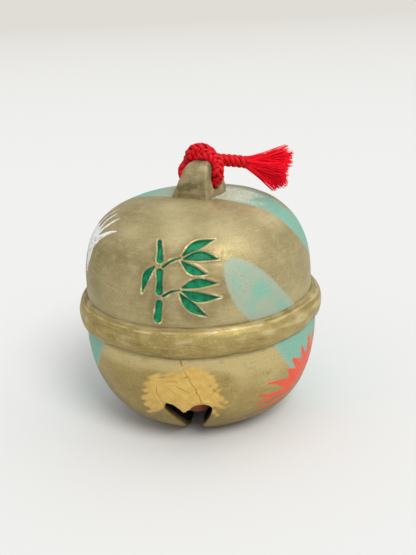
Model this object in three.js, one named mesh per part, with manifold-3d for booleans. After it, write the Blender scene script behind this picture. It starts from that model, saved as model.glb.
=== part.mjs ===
// A small painted clay bell, the kind that rattles: a dome and a bowl joined under a belt, a slotted
// mouth below, a pierced lug with a knotted cord on top, and a loose clay pellet inside.
// Millimetres, +Z up. The flat foot stands on z = 0, the axis is x = y = 0, and the mouth faces -Y.
import * as THREE from "three";
import { mergeVertices } from "three/addons/utils/BufferGeometryUtils.js";
import Module from "manifold-3d";

const wasm = await Module();
wasm.setup();

// Hollow body
const WALL = 3.5;
const SPRING_HEIGHT = 37.7; // height of the widest part
const JOINT_HEIGHT = 36; // where the two halves are joined
const BOWL_RADIUS = 35.7;
const BOWL_FULLNESS = { across: 3.11, up: 2.99 }; // 2 is an ellipse, more is squarer
const FOOT_SLICE = 0.45; // what the flat foot takes off the bowl's curve
const DOME_SET_IN = 1.2; // the dome's rim stands this far inside the bowl's
const DOME_RADIUS = BOWL_RADIUS - DOME_SET_IN;
const DOME_RISE = 31.1;
const DOME_FULLNESS = { across: 3.45, up: 3.06 };

// Belt over the joint
const BELT_PROUD = 1.8; // how far it stands out from the bowl
const BELT_RADIUS = BOWL_RADIUS + BELT_PROUD;
const BELT_HEIGHT = 9.6;
const BELT_THICKNESS = 3.8;

// Mouth: an egg-shaped hole cut level through the front and the back, its sides running down into the
// slot that joins the two under the foot
const HOLE_WIDTH = 13.7;
const HOLE_HEIGHT = 14.3; // where the hole is widest
const HOLE_RISE = 3.2;
const HOLE_ROUNDNESS = 2.2; // squareness of the part above
const HOLE_DROP = 9.8;
const HOLE_TAPER = 1.5; // how late the sides run together below
const SLOT_WIDTH = 5.3;

// Fragment above the mouth that broke out and was glued back. It is seen from the front, as x and
// height over the hole's widest place, and its cracks start on the hole's rim.
const GLUE_GAP = 0.3;
const SHARD_RIGHT = 4.2;
const SHARD_LEFT = -6;
const SHARD_CRACK = [
  [3.8, 5.2],
  [2.3, 8.5],
  [0.9, 11.9],
  [-2.6, 10.2],
  [-8.4, 9.6],
  [-8.6, 6.1],
];
const SHARD_LIP = [
  [-3.4, 1.2],
  [-1.4, -1],
  [0.2, 0],
  [2.2, 1.9],
];

// Cord
const CORD_DIAMETER = 3.6;
const CORD_SIDES = 8;
const CORD_GAP = 0.3;

// Lug: a strap of clay bent to an arch and pressed on the dome, turned and leaning a little
const LUG_PLACE = { x: 1.3, y: 1.1 };
const LUG_TURN = THREE.MathUtils.degToRad(-20);
const LUG_HEIGHT = 10.3;
const LUG_FOOT_WIDTH = 11.8;
const LUG_TOP_WIDTH = 7;
const LUG_CORNER = 8; // squareness of the top corners
const LUG_LEAN = 1.75; // the top stands this far to the right of the foot
const LUG_LENGTH = 12.6; // front to back
const LUG_ARCH = 2.4; // squareness of the arch
const LUG_HOLE_ROOM = 0.5; // between the cord and each side of the hole
const LUG_HOLE_DIAMETER = CORD_DIAMETER + 2 * LUG_HOLE_ROOM;
const LUG_HOLE_HEIGHT = 3.9;
const LUG_HOLE_BACK = 0.3; // the hole stands this far behind the middle
const LUG_GAP = 0.3;

// Pellet, lying behind the mouth
const PELLET_RADIUS = 7;
const PELLET_DISTANCE = 15.5; // from the axis
const PELLET_GAP = 0.3;

// Routes of the cord, from the lug's place and with z above the dome's top. The loop turns with the
// lug, and the tail doesn't.
const LOOP_ROUTE = [
  [-2.2, 1.9, 10.6],
  [-4.3, 1.3, 9],
  [-5.3, 0.7, 7.2],
  [-5.2, 0.4, 5.5],
  [-4.2, 0.3, 4.3],
  [-2.6, 0.3, 3.9],
  [0, 0.3, 3.9],
  [2.8, 0.3, 3.9],
  [4.9, 0.3, 4.1],
  [6.5, -0.1, 5.2],
  [6.9, -0.7, 6.9],
  [6.4, -1.1, 8.6],
  [5, -0.9, 10.2],
  [3.3, 0.2, 11.2],
  [2, 1.4, 11.2],
];
const LOOP_STEPS = 30;
const KNOT_PLACE = [-0.15, 2.3, 10.6];
const KNOT_WIDE = 9.2;
const KNOT_DEEP = 7.4;
const KNOT_HIGH = 7.4;
const TAIL_ROUTE = [
  [7.2, 3.8, 9.6],
  [9.7, 3.8, 9.3],
  [12.3, 3.8, 8.9],
  [14.9, 3.8, 8.5],
];
const TAIL_STEPS = 4;

// Tassel: the frayed end, a flattened fan
const TASSEL_LENGTH = 12;
const TASSEL_SPREAD = 13.2;
const TASSEL_DEPTH = 8.6;
const TASSEL_DROOP = THREE.MathUtils.degToRad(13);
const TASSEL_FLUTES = 10;
const TASSEL_FLUTE_DEPTH = 0.07; // share of the radius
const TASSEL_END = 5; // squareness of the rounded end

// Fineness of the faceted shapes
const ROUND_STEPS = 64;
const OUTER_STEPS = 14;
const INNER_STEPS = 9;
const BELT_STEPS = 12;
const HOLE_STEPS = 10;
const ARCH_STEPS = 14;
const KNOT_STEPS = 24;
const PELLET_STEPS = 32;
const TASSEL_STEPS = 9;
const REACH = 2; // how far a cutting shape runs past what it cuts
const MERGE_DISTANCE = 1e-4;

const goldPaint = new THREE.MeshStandardMaterial({
  color: "#b3a378",
  roughness: 0.42,
  metalness: 0.35,
});
const mendPaint = new THREE.MeshStandardMaterial({
  color: "#cfae5f",
  roughness: 0.35,
  metalness: 0.45,
});
const bareClay = new THREE.MeshStandardMaterial({
  color: "#b0604a",
  roughness: 0.9,
  metalness: 0,
});
const redBraid = new THREE.MeshStandardMaterial({
  color: "#c8102a",
  roughness: 0.75,
  metalness: 0,
});
const redFibre = new THREE.MeshStandardMaterial({
  color: "#e8202e",
  roughness: 0.8,
  metalness: 0,
});

// A ball with its poles on the y axis
function ball(radius, steps) {
  return new THREE.SphereGeometry(radius, steps, Math.round(steps / 1.6));
}

// A closed geometry as a solid that can be joined and cut
function solid(geometry) {
  const bare = geometry.clone();
  bare.deleteAttribute("normal");
  bare.deleteAttribute("uv");
  const merged = mergeVertices(bare, MERGE_DISTANCE);
  const corners = merged.index.array;
  const triangles = [];
  for (let i = 0; i < corners.length; i += 3) {
    const [a, b, c] = corners.subarray(i, i + 3);
    if (a !== b && b !== c && c !== a) triangles.push(a, b, c);
  }
  return new wasm.Manifold(
    new wasm.Mesh({
      numProp: 3,
      vertProperties: merged.attributes.position.array,
      triVerts: new Uint32Array(triangles),
    }),
  );
}

// A solid as a named, flat-shaded mesh
function piece(name, shape, material) {
  const { vertProperties, triVerts } = shape.getMesh();
  const indexed = new THREE.BufferGeometry()
    .setAttribute("position", new THREE.BufferAttribute(vertProperties, 3))
    .setIndex(new THREE.BufferAttribute(triVerts, 1));
  const geometry = indexed.toNonIndexed();
  geometry.computeVertexNormals();
  const mesh = new THREE.Mesh(geometry, material);
  mesh.name = name;
  return mesh;
}

// Turns an outline of [radius, height] points round the z axis
function turned(outline) {
  const points = outline.map(([r, z]) => new THREE.Vector2(r, z));
  return new THREE.LatheGeometry(points, ROUND_STEPS).rotateX(Math.PI / 2);
}

// Extrudes an outline of [across, height] points along y, centred on y = 0
function slab(outline, depth) {
  const shape = new THREE.Shape(outline.map(([x, z]) => new THREE.Vector2(x, z)));
  return new THREE.ExtrudeGeometry(shape, { depth, bevelEnabled: false })
    .rotateX(Math.PI / 2)
    .translate(0, depth / 2, 0);
}

// A round cord along a route of points
function cord(route, radius, steps) {
  const section = new THREE.Shape();
  for (let i = 0; i < CORD_SIDES; i++) {
    const angle = (i / CORD_SIDES) * 2 * Math.PI;
    const [x, y] = [radius * Math.cos(angle), radius * Math.sin(angle)];
    if (i) section.lineTo(x, y);
    else section.moveTo(x, y);
  }
  const path = new THREE.CatmullRomCurve3(route.map((p) => new THREE.Vector3(...p)));
  return new THREE.ExtrudeGeometry(section, { steps, extrudePath: path, bevelEnabled: false });
}

// Points [across, up] of a rounded quarter outline, from its rim to its top
function quarter(radius, rise, { across, up }, steps) {
  return Array.from({ length: steps + 1 }, (_, i) => {
    const angle = (i / steps) * (Math.PI / 2);
    const out = i === steps ? 0 : Math.cos(angle);
    return [radius * out ** (2 / across), rise * Math.sin(angle) ** (2 / up)];
  });
}

// The dome's outline above the joint, moved outwards by grow
function domeOutline(grow, steps) {
  const curve = quarter(DOME_RADIUS + grow, DOME_RISE + grow, DOME_FULLNESS, steps);
  return [
    [DOME_RADIUS + grow, JOINT_HEIGHT],
    ...curve.map(([r, up]) => [r, SPRING_HEIGHT + up]),
  ];
}

// Radius of the bowl at a height, moved outwards by grow
function bowlRadius(height, grow = 0) {
  const down = (SPRING_HEIGHT - height) / (SPRING_HEIGHT + FOOT_SLICE + grow);
  const share = Math.max(0, 1 - Math.max(0, down) ** BOWL_FULLNESS.up);
  return (BOWL_RADIUS + grow) * share ** (1 / BOWL_FULLNESS.across);
}

// The bowl's outline from the axis up to the joint, moved outwards by grow, with its floor at a height
function bowlOutline(grow, floor, steps) {
  const rim = bowlRadius(floor, grow);
  const curve = quarter(BOWL_RADIUS + grow, SPRING_HEIGHT + FOOT_SLICE + grow, BOWL_FULLNESS, steps)
    .map(([r, down]) => [r, SPRING_HEIGHT - down])
    .filter(([r, z]) => z < JOINT_HEIGHT - 1 && z > floor && r > rim)
    .reverse();
  return [[0, floor], [rim, floor], ...curve, [bowlRadius(JOINT_HEIGHT, grow), JOINT_HEIGHT]];
}

// Moves each side of a closed outline inwards by a gap. The outline runs anticlockwise.
function inset(outline, gap) {
  const sides = outline.map(([x, y], i) => {
    const [nextX, nextY] = outline[(i + 1) % outline.length];
    const along = new THREE.Vector2(nextX - x, nextY - y).normalize();
    return { from: new THREE.Vector2(x - along.y * gap, y + along.x * gap), along };
  });
  return sides.map((side, i) => {
    const before = sides[(i + sides.length - 1) % sides.length];
    const offset = side.from.clone().sub(before.from);
    const reach = offset.cross(side.along) / before.along.cross(side.along);
    const corner = before.from.clone().addScaledVector(before.along, reach);
    return [corner.x, corner.y];
  });
}

// Upper and lower half of the hollow body
function makeDome() {
  const outer = domeOutline(0, OUTER_STEPS);
  const inner = domeOutline(-WALL, INNER_STEPS);
  return solid(turned([...inner.reverse(), ...outer]));
}

function makeBowlShell() {
  const outer = bowlOutline(0, 0, OUTER_STEPS);
  const inner = bowlOutline(-WALL, WALL, INNER_STEPS);
  return solid(turned([...outer, ...inner.reverse()]));
}

// Front view of the hole, with its height over the widest place
function holeOutline() {
  const half = HOLE_WIDTH / 2;
  const round = { across: HOLE_ROUNDNESS, up: HOLE_ROUNDNESS };
  const above = quarter(half, HOLE_RISE, round, HOLE_STEPS);
  const below = Array.from({ length: HOLE_STEPS }, (_, i) => {
    const share = 1 - i / HOLE_STEPS;
    return [half * (1 - share ** HOLE_TAPER), -HOLE_DROP * share];
  });
  const right = [...below, ...above];
  const left = right.slice(1, -1).reverse();
  return [...right, ...left.map(([x, up]) => [-x, up])];
}

// What the mouth takes out of the bowl: both holes in one cut, and the slot between them
function makeMouth() {
  const holes = slab(holeOutline(), 2 * BOWL_RADIUS + REACH).translate(0, 0, HOLE_HEIGHT);
  const slotDepth = HOLE_HEIGHT + REACH;
  const slot = new THREE.BoxGeometry(SLOT_WIDTH, 2 * bowlRadius(HOLE_HEIGHT), slotDepth);
  slot.translate(0, 0, HOLE_HEIGHT - slotDepth / 2);
  return solid(holes).add(solid(slot));
}

// The part of the wall, seen from the front, that broke out above the mouth
function makeShardPrism(gap) {
  const onRim = (x) => {
    const share = 1 - Math.abs(x / (HOLE_WIDTH / 2)) ** HOLE_ROUNDNESS;
    return [x, HOLE_RISE * share ** (1 / HOLE_ROUNDNESS)];
  };
  const outline = [onRim(SHARD_RIGHT), ...SHARD_CRACK, onRim(SHARD_LEFT), ...SHARD_LIP];
  const depth = BOWL_RADIUS;
  return solid(slab(inset(outline, gap), depth).translate(0, -depth / 2 - WALL, HOLE_HEIGHT));
}

// Belt: a flattened ring, hollowed where the two halves pass through it
function makeBelt() {
  const centre = BELT_RADIUS - BELT_THICKNESS;
  const ring = Array.from({ length: BELT_STEPS + 1 }, (_, i) => {
    const angle = (i / BELT_STEPS - 0.5) * Math.PI;
    const across = centre + BELT_THICKNESS * Math.cos(angle);
    return [across, JOINT_HEIGHT + (BELT_HEIGHT / 2) * Math.sin(angle)];
  });
  const inside = centre - WALL;
  const closed = [[inside, ring[0][1]], ...ring, [inside, ring.at(-1)[1]], [inside, ring[0][1]]];
  const dome = solid(turned([[0, JOINT_HEIGHT], ...domeOutline(GLUE_GAP, OUTER_STEPS)]));
  const bowl = solid(turned([...bowlOutline(GLUE_GAP, 0, OUTER_STEPS), [0, JOINT_HEIGHT]]));
  return solid(turned(closed)).subtract(dome).subtract(bowl);
}

// Front view of the lug: a strap that narrows upwards and has rounded top corners
function lugFront(grow) {
  const height = LUG_HEIGHT + grow;
  const half = (share) => {
    const flare = (LUG_FOOT_WIDTH - LUG_TOP_WIDTH) * (1 - share);
    const corner = (1 - share ** LUG_CORNER) ** (1 / LUG_CORNER);
    return ((LUG_TOP_WIDTH + flare) / 2 + grow) * corner;
  };
  const steps = Array.from({ length: ARCH_STEPS + 1 }, (_, i) => i / ARCH_STEPS);
  const shares = steps.map((step) => Math.sin((step * Math.PI) / 2));
  const right = shares.map((share) => [LUG_LEAN * share + half(share), height * share]);
  const left = shares.map((share) => [LUG_LEAN * share - half(share), height * share]);
  const foot = LUG_FOOT_WIDTH / 2 + grow;
  return [[foot, -WALL], ...right, ...left.slice(0, -1).reverse(), [-foot, -WALL]];
}

// Side view of the lug: an arch
function lugSide(grow) {
  const half = LUG_LENGTH / 2 + grow;
  const side = quarter(half, LUG_HEIGHT + grow, { across: LUG_ARCH, up: LUG_ARCH }, ARCH_STEPS);
  const other = side.slice(0, -1).reverse();
  return [[half, -WALL], ...side, ...other.map(([y, z]) => [-y, z]), [-half, -WALL]];
}

function makeLug(grow, dome) {
  const across = 2 * LUG_FOOT_WIDTH;
  const front = solid(slab(lugFront(grow), 2 * LUG_LENGTH));
  const side = solid(slab(lugSide(grow), across).rotateZ(Math.PI / 2));
  const bore = LUG_HOLE_DIAMETER / 2 - grow;
  const hole = new THREE.CylinderGeometry(bore, bore, across, ROUND_STEPS / 2)
    .rotateZ(Math.PI / 2)
    .translate(0, LUG_HOLE_BACK, LUG_HOLE_HEIGHT);
  return front.intersect(side).subtract(solid(hole)).subtract(dome);
}

// Loop and knot, with the room that the lug and the dome take cut away
function makeTiedCord(lug, dome) {
  const loop = solid(cord(LOOP_ROUTE, CORD_DIAMETER / 2, LOOP_STEPS));
  const knot = ball(0.5, KNOT_STEPS).scale(KNOT_WIDE, KNOT_DEEP, KNOT_HIGH);
  return solid(knot.translate(...KNOT_PLACE))
    .add(loop)
    .subtract(lug)
    .subtract(dome);
}

// Tail: it starts with a round end, which turns beside the knot
function makeTail() {
  const round = ball(CORD_DIAMETER / 2, 2 * CORD_SIDES).translate(...TAIL_ROUTE[0]);
  return solid(cord(TAIL_ROUTE, CORD_DIAMETER / 2, TAIL_STEPS)).add(solid(round));
}

// Tassel in its own frame: the fan opens along +z from the cord's cut end
function makeTassel() {
  const cut = CORD_DIAMETER / 2;
  const most = TASSEL_SPREAD / 2;
  const outline = Array.from({ length: TASSEL_STEPS + 1 }, (_, i) => {
    const share = Math.sin(((i / TASSEL_STEPS) * Math.PI) / 2);
    const flare = cut + (most - cut) * Math.sin((share * Math.PI) / 2);
    return [flare * (1 - share ** TASSEL_END) ** (1 / TASSEL_END), share * TASSEL_LENGTH];
  });
  const fan = turned([[0, 0], ...outline]);
  const place = fan.attributes.position;
  for (let i = 0; i < place.count; i++) {
    const [x, y, z] = [place.getX(i), place.getY(i), place.getZ(i)];
    const spread = Math.min(1, z / TASSEL_LENGTH);
    const flute = 1 + TASSEL_FLUTE_DEPTH * spread * Math.cos(TASSEL_FLUTES * Math.atan2(y, x));
    const flatten = 1 - spread * (1 - TASSEL_DEPTH / TASSEL_SPREAD);
    place.setXYZ(i, x * flute, y * flute * flatten, z);
  }
  return solid(fan);
}

// Height of the pellet's centre where it lies on the bowl's floor at a distance from the axis
function pelletHeight(distance) {
  const reach = PELLET_RADIUS + PELLET_GAP;
  const touches = bowlOutline(-WALL, WALL, 20 * INNER_STEPS)
    .filter(([r]) => Math.abs(r - distance) < reach)
    .map(([r, z]) => z + Math.sqrt(reach ** 2 - (r - distance) ** 2));
  return Math.max(...touches);
}

const bell = new THREE.Group();
bell.name = "clay_bell";

const shell = makeBowlShell();
const bowl = shell.subtract(makeMouth()).subtract(makeShardPrism(0));
const shard = shell.intersect(makeShardPrism(GLUE_GAP));
bell.add(
  piece("lower_bowl", bowl, goldPaint),
  piece("mended_shard", shard, mendPaint),
  piece("upper_dome", makeDome(), goldPaint),
  piece("waist_belt", makeBelt(), goldPaint),
);

// The cord's tail stands on the dome's top at the lug's place, and the lug and the loop turn there
const summit = new THREE.Group();
summit.position.set(LUG_PLACE.x, LUG_PLACE.y, SPRING_HEIGHT + DOME_RISE);
const crown = new THREE.Group();
crown.rotation.z = LUG_TURN;
summit.add(crown);
summit.updateMatrixWorld();
const domeRoom = turned([[0, JOINT_HEIGHT], ...domeOutline(LUG_GAP, OUTER_STEPS)]);
const domeUnderCrown = solid(domeRoom.applyMatrix4(crown.matrixWorld.clone().invert()));
crown.add(
  piece("hanging_lug", makeLug(0, domeUnderCrown), goldPaint),
  piece("tied_cord", makeTiedCord(makeLug(CORD_GAP, domeUnderCrown), domeUnderCrown), redBraid),
);
bell.add(summit);

const pellet = piece("rattle_pellet", solid(ball(PELLET_RADIUS, PELLET_STEPS)), bareClay);
pellet.position.set(0, -PELLET_DISTANCE, pelletHeight(PELLET_DISTANCE));
bell.add(pellet);

summit.add(piece("cord_tail", makeTail(), redBraid));
const tassel = piece("tassel", makeTassel(), redFibre);
tassel.position.set(...TAIL_ROUTE.at(-1));
tassel.position.x += CORD_GAP;
tassel.rotation.y = Math.PI / 2 + TASSEL_DROOP;
summit.add(tassel);

export default bell;
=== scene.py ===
"""The looks of a small hand-painted clay bell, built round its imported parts.

The bell is modelled in millimetres in its own frame: +Z up, the flat foot on z = 0, the mended side of
the mouth towards -Y. Each finished piece is set to metres at the end.
"""

import logging
import math
from contextlib import contextmanager
from dataclasses import dataclass
from enum import Enum
from typing import Callable, Iterator, Sequence

import bpy
import numpy as np
from mathutils import Matrix, Vector


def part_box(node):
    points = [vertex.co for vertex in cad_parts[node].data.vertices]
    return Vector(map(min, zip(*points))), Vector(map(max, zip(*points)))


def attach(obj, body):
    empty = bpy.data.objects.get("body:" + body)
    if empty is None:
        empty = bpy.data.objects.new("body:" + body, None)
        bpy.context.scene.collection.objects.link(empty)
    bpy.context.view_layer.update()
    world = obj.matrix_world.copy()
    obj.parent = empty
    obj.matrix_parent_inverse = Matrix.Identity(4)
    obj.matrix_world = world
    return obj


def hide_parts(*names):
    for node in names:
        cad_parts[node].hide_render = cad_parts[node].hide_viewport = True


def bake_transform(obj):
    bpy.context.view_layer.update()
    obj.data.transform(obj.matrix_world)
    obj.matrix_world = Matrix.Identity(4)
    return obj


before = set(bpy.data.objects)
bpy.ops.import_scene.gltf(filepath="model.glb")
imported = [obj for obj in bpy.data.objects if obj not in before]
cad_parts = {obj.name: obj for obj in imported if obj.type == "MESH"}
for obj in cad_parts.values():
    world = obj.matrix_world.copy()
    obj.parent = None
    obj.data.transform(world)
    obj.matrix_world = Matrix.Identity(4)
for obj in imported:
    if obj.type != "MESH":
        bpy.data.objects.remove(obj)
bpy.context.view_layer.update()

log = logging.getLogger("clay_bell")

MM = 0.001
LEAST_PUSH = 1e-4  # mm
OUT_OF_REACH = 9.0  # a mask's value where its coat can't lie, in mm

Point = tuple[float, float]
Place = tuple[float, float, float]
Object = bpy.types.Object
Tree = bpy.types.NodeTree
Node = bpy.types.Node
Socket = bpy.types.NodeSocket
Values = dict[str, object]
Dice = np.random.Generator


def node_box(node: str) -> tuple[np.ndarray, np.ndarray]:
    """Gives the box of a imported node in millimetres.

    Args:
        node: The node's name.

    Returns:
        Its lowest and its highest corner.
    """
    low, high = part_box(node)
    return np.array(low) / MM, np.array(high) / MM


def linear(colour: str) -> tuple[float, float, float, float]:
    """Turns an sRGB hex colour to linear light.

    Args:
        colour: Six hex digits after a hash.

    Returns:
        Red, green, blue and alpha.
    """
    shares = [int(colour[i : i + 2], 16) / 255 for i in (1, 3, 5)]
    light = [s / 12.92 if s <= 0.04045 else ((s + 0.055) / 1.055) ** 2.4 for s in shares]
    return (*light, 1.0)


# Modelling by hand


def deselect() -> None:
    """Leaves edit mode and deselects everything."""
    if bpy.context.mode != "OBJECT":
        bpy.ops.object.mode_set(mode="OBJECT")
    bpy.ops.object.select_all(action="DESELECT")


def pick(piece: Object) -> None:
    """Selects one piece alone and makes it the active one."""
    deselect()
    piece.select_set(True)
    bpy.context.view_layer.objects.active = piece


@contextmanager
def editing(piece: Object, mode: str = "VERT", everything: bool = True) -> Iterator[None]:
    """Opens a piece in edit mode and closes it again.

    Args:
        piece: The object to edit.
        mode: What is selected: VERT, EDGE or FACE.
        everything: Selects the whole mesh, or else keeps what is selected.

    Yields:
        Nothing, while edit mode is open.
    """
    pick(piece)
    bpy.ops.object.mode_set(mode="EDIT")
    bpy.ops.mesh.select_mode(type=mode)
    if everything:
        bpy.ops.mesh.select_all(action="SELECT")
    yield
    bpy.ops.object.mode_set(mode="OBJECT")


def corners(piece: Object) -> np.ndarray:
    """Gives the places of a mesh's vertices, one row each."""
    places = np.empty(len(piece.data.vertices) * 3, np.float32)
    piece.data.vertices.foreach_get("co", places)
    return places.reshape(-1, 3).astype(float)


def drawn(name: str, route: Sequence[Place]) -> Object:
    """Draws a line of edges: one corner of a plane is kept and extruded from point to point.

    Args:
        name: The new object's name.
        route: The points of the line.

    Returns:
        The object, whose last point is selected.
    """
    deselect()
    bpy.ops.mesh.primitive_plane_add(size=1, location=(0, 0, 0))
    piece = bpy.context.active_object
    piece.name = piece.data.name = name
    piece.data.polygons.foreach_set("select", [False])
    piece.data.edges.foreach_set("select", [False] * 4)
    piece.data.vertices.foreach_set("select", [False, True, True, True])
    with editing(piece, everything=False):
        bpy.ops.mesh.delete(type="VERT")
        bpy.ops.mesh.select_all(action="SELECT")
        here = Vector((-0.5, -0.5, 0))
        bpy.ops.transform.translate(value=Vector(route[0]) - here)
        for start, end in zip(route, route[1:]):
            step = Vector(end) - Vector(start)
            bpy.ops.mesh.extrude_region_move(TRANSFORM_OT_translate={"value": step})
    return piece


def spun(name: str, outline: Sequence[Point], steps: int) -> Object:
    """Spins an outline round the bell's axis.

    Args:
        name: The new object's name.
        outline: Points of radius and height.
        steps: Number of steps round.

    Returns:
        A closed piece if the outline starts and ends on the axis or closes on itself.
    """
    piece = drawn(name, [(radius, 0.0, height) for radius, height in outline])
    with editing(piece):
        bpy.ops.mesh.spin(steps=steps, angle=2 * math.pi, center=(0, 0, 0), axis=(0, 0, 1))
        bpy.ops.mesh.select_all(action="SELECT")
        bpy.ops.mesh.remove_doubles(threshold=1e-4)
        bpy.ops.mesh.normals_make_consistent(inside=False)
    return piece


def extruded(name: str, outline: Sequence[Point], depth: float, sideways: bool = False) -> Object:
    """Fills an outline and extrudes it to both sides of its plane.

    Args:
        name: The new object's name.
        outline: Points of across and height.
        depth: Length of the extrusion.
        sideways: The outline stands across X, or else across Y.

    Returns:
        The closed piece.
    """
    half = depth / 2
    route = [(-half, x, z) if sideways else (x, -half, z) for x, z in outline]
    piece = drawn(name, route)
    with editing(piece):
        bpy.ops.mesh.edge_face_add()
        along = (depth, 0, 0) if sideways else (0, depth, 0)
        bpy.ops.mesh.extrude_region_move(TRANSFORM_OT_translate={"value": along})
        bpy.ops.mesh.select_all(action="SELECT")
        bpy.ops.mesh.normals_make_consistent(inside=False)
    return piece


def refine(piece: Object, chosen: Callable[[np.ndarray], np.ndarray], cuts: int) -> None:
    """Subdivides the faces of one area.

    Args:
        piece: The object to refine.
        chosen: Says for face centres which of them are in the area.
        cuts: Number of cuts of each edge.
    """
    centres = np.empty(len(piece.data.polygons) * 3, np.float32)
    piece.data.polygons.foreach_get("center", centres)
    mesh = piece.data
    mesh.vertices.foreach_set("select", np.zeros(len(mesh.vertices), bool))
    mesh.edges.foreach_set("select", np.zeros(len(mesh.edges), bool))
    mesh.polygons.foreach_set("select", chosen(centres.reshape(-1, 3).astype(float)))
    pick(piece)
    bpy.context.tool_settings.mesh_select_mode = (False, False, True)
    bpy.ops.object.mode_set(mode="EDIT")
    bpy.ops.mesh.subdivide(number_cuts=cuts)
    bpy.ops.object.mode_set(mode="OBJECT")


def modify(piece: Object, kind: str, **settings: object) -> None:
    """Gives a piece a modifier with its settings and applies it."""
    modifier = piece.modifiers.new(kind.lower(), kind)
    for name, value in settings.items():
        setattr(modifier, name, value)
    pick(piece)
    bpy.ops.object.modifier_apply(modifier=modifier.name)


def push(piece: Object, heights: np.ndarray) -> None:
    """Pushes a surface out, or in where the height is negative, along its normals.

    Args:
        piece: The object to shape.
        heights: A height for each vertex, in millimetres.
    """
    for side in (1, -1):
        part = np.clip(side * heights, 0, None)
        most = float(part.max())
        if most < LEAST_PUSH:
            continue
        group = piece.vertex_groups.new(name="push")
        for index in np.flatnonzero(part > LEAST_PUSH / 10):
            group.add((int(index),), float(part[index] / most), "REPLACE")
        settings = {"direction": "NORMAL", "mid_level": 0, "strength": side * most}
        modify(piece, "DISPLACE", vertex_group=group.name, **settings)
        piece.vertex_groups.clear()


def cut(piece: Object, tool: Object, operation: str) -> None:
    """Cuts a piece with another one, or keeps only what they share, and removes the tool."""
    modify(piece, "BOOLEAN", object=tool, operation=operation, solver="EXACT")
    bpy.data.objects.remove(tool)


def note(piece: Object, name: str, values: np.ndarray) -> None:
    """Writes a value for each vertex, which a material then reads by its name."""
    attribute = piece.data.attributes.new(name, "FLOAT", "POINT")
    attribute.data.foreach_set("value", values.astype(np.float32))


def lumps(places: np.ndarray, size: float, seed: int) -> np.ndarray:
    """Gives the soft unevenness of hand-pressed clay.

    Args:
        places: Points, one row each.
        size: Usual distance from one swelling to the next.
        seed: Chooses one of many patterns.

    Returns:
        A value for each point, mostly from -1 to 1.
    """
    waves = 18
    dice = np.random.default_rng(seed)
    total = np.zeros(len(places))
    for _ in range(waves):
        direction = dice.normal(size=3)
        direction *= 2 * math.pi / size * dice.uniform(0.6, 1.3) / np.linalg.norm(direction)
        total += np.sin(places @ direction + dice.uniform(0, 2 * math.pi))
    return total / math.sqrt(waves)


def rise(values: np.ndarray, low: float, high: float) -> np.ndarray:
    """Goes smoothly from 0 at the low value to 1 at the high one."""
    share = np.clip((values - low) / (high - low), 0, 1)
    return share * share * (3 - 2 * share)


def walked_along(line: np.ndarray) -> np.ndarray:
    """Gives for each point of a line the length of the line up to it."""
    lengths = np.linalg.norm(np.diff(line, axis=0), axis=1)
    return np.concatenate([[0], np.cumsum(lengths)])


def smooth(points: Sequence[Sequence[float]], per_span: int) -> np.ndarray:
    """Draws a smooth curve through points.

    Args:
        points: The points to pass through.
        per_span: Number of steps from one point to the next.

    Returns:
        Points of the curve, one row each.
    """
    given = np.array(points, float)
    spare = np.vstack([2 * given[0] - given[1], given, 2 * given[-1] - given[-2]])
    share = np.linspace(0, 1, per_span, endpoint=False)[:, None]
    spans = []
    for before, start, end, after in zip(spare, spare[1:], spare[2:], spare[3:]):
        bend = 2 * before - 5 * start + 4 * end - after
        twist = 3 * start - before - 3 * end + after
        spans.append(start + 0.5 * share * (end - before + share * (bend + share * twist)))
    return np.vstack([*spans, given[-1]])


# Figures on a surface, in millimetres across and up


@dataclass(frozen=True)
class Stroke:
    """A stroke of a brush or a chisel: a smooth line with a width at each of its points."""

    points: tuple[Point, ...]
    widths: tuple[float, ...]

    def distance(self, plane: np.ndarray) -> np.ndarray:
        """Gives the distance to the stroke's edge, negative inside it, for points of the plane."""
        given = [(*point, width) for point, width in zip(self.points, self.widths)]
        line = smooth(given, 6)
        best = np.full(len(plane), np.inf)
        for start, end in zip(line, line[1:]):
            step = end[:2] - start[:2]
            offset = plane - start[:2]
            share = np.clip(offset @ step / max(step @ step, 1e-9), 0, 1)
            away = np.linalg.norm(offset - share[:, None] * step, axis=1)
            best = np.minimum(best, away - (start[2] + share * (end[2] - start[2])) / 2)
        return best


@dataclass(frozen=True)
class Patch:
    """A closed area with straight sides."""

    points: tuple[Point, ...]

    def distance(self, plane: np.ndarray) -> np.ndarray:
        """Gives the distance to the patch's edge, negative inside it, for points of the plane."""
        ring = np.array(self.points, float)
        best = np.full(len(plane), np.inf)
        inside = np.zeros(len(plane), bool)
        for start, end in zip(ring, np.roll(ring, -1, axis=0)):
            side = end - start
            offset = plane - start
            share = np.clip(offset @ side / max(side @ side, 1e-9), 0, 1)
            best = np.minimum(best, np.linalg.norm(offset - share[:, None] * side, axis=1))
            spans = (start[1] > plane[:, 1]) != (end[1] > plane[:, 1])
            slope = side[0] / side[1] if side[1] else 0.0
            inside ^= spans & (plane[:, 0] < start[0] + (plane[:, 1] - start[1]) * slope)
        return np.where(inside, -best, best)


Figure = Stroke | Patch


def strokes_of(table: Sequence[tuple[tuple[Point, ...], tuple[float, ...]]]) -> list[Stroke]:
    """Makes a stroke of each row of points and widths."""
    return [Stroke(points, widths) for points, widths in table]


def nearest(figures: Sequence[Figure], plane: np.ndarray) -> np.ndarray:
    """Gives the distance to the nearest of some figures, negative inside one."""
    return np.min([figure.distance(plane) for figure in figures], axis=0)


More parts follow.
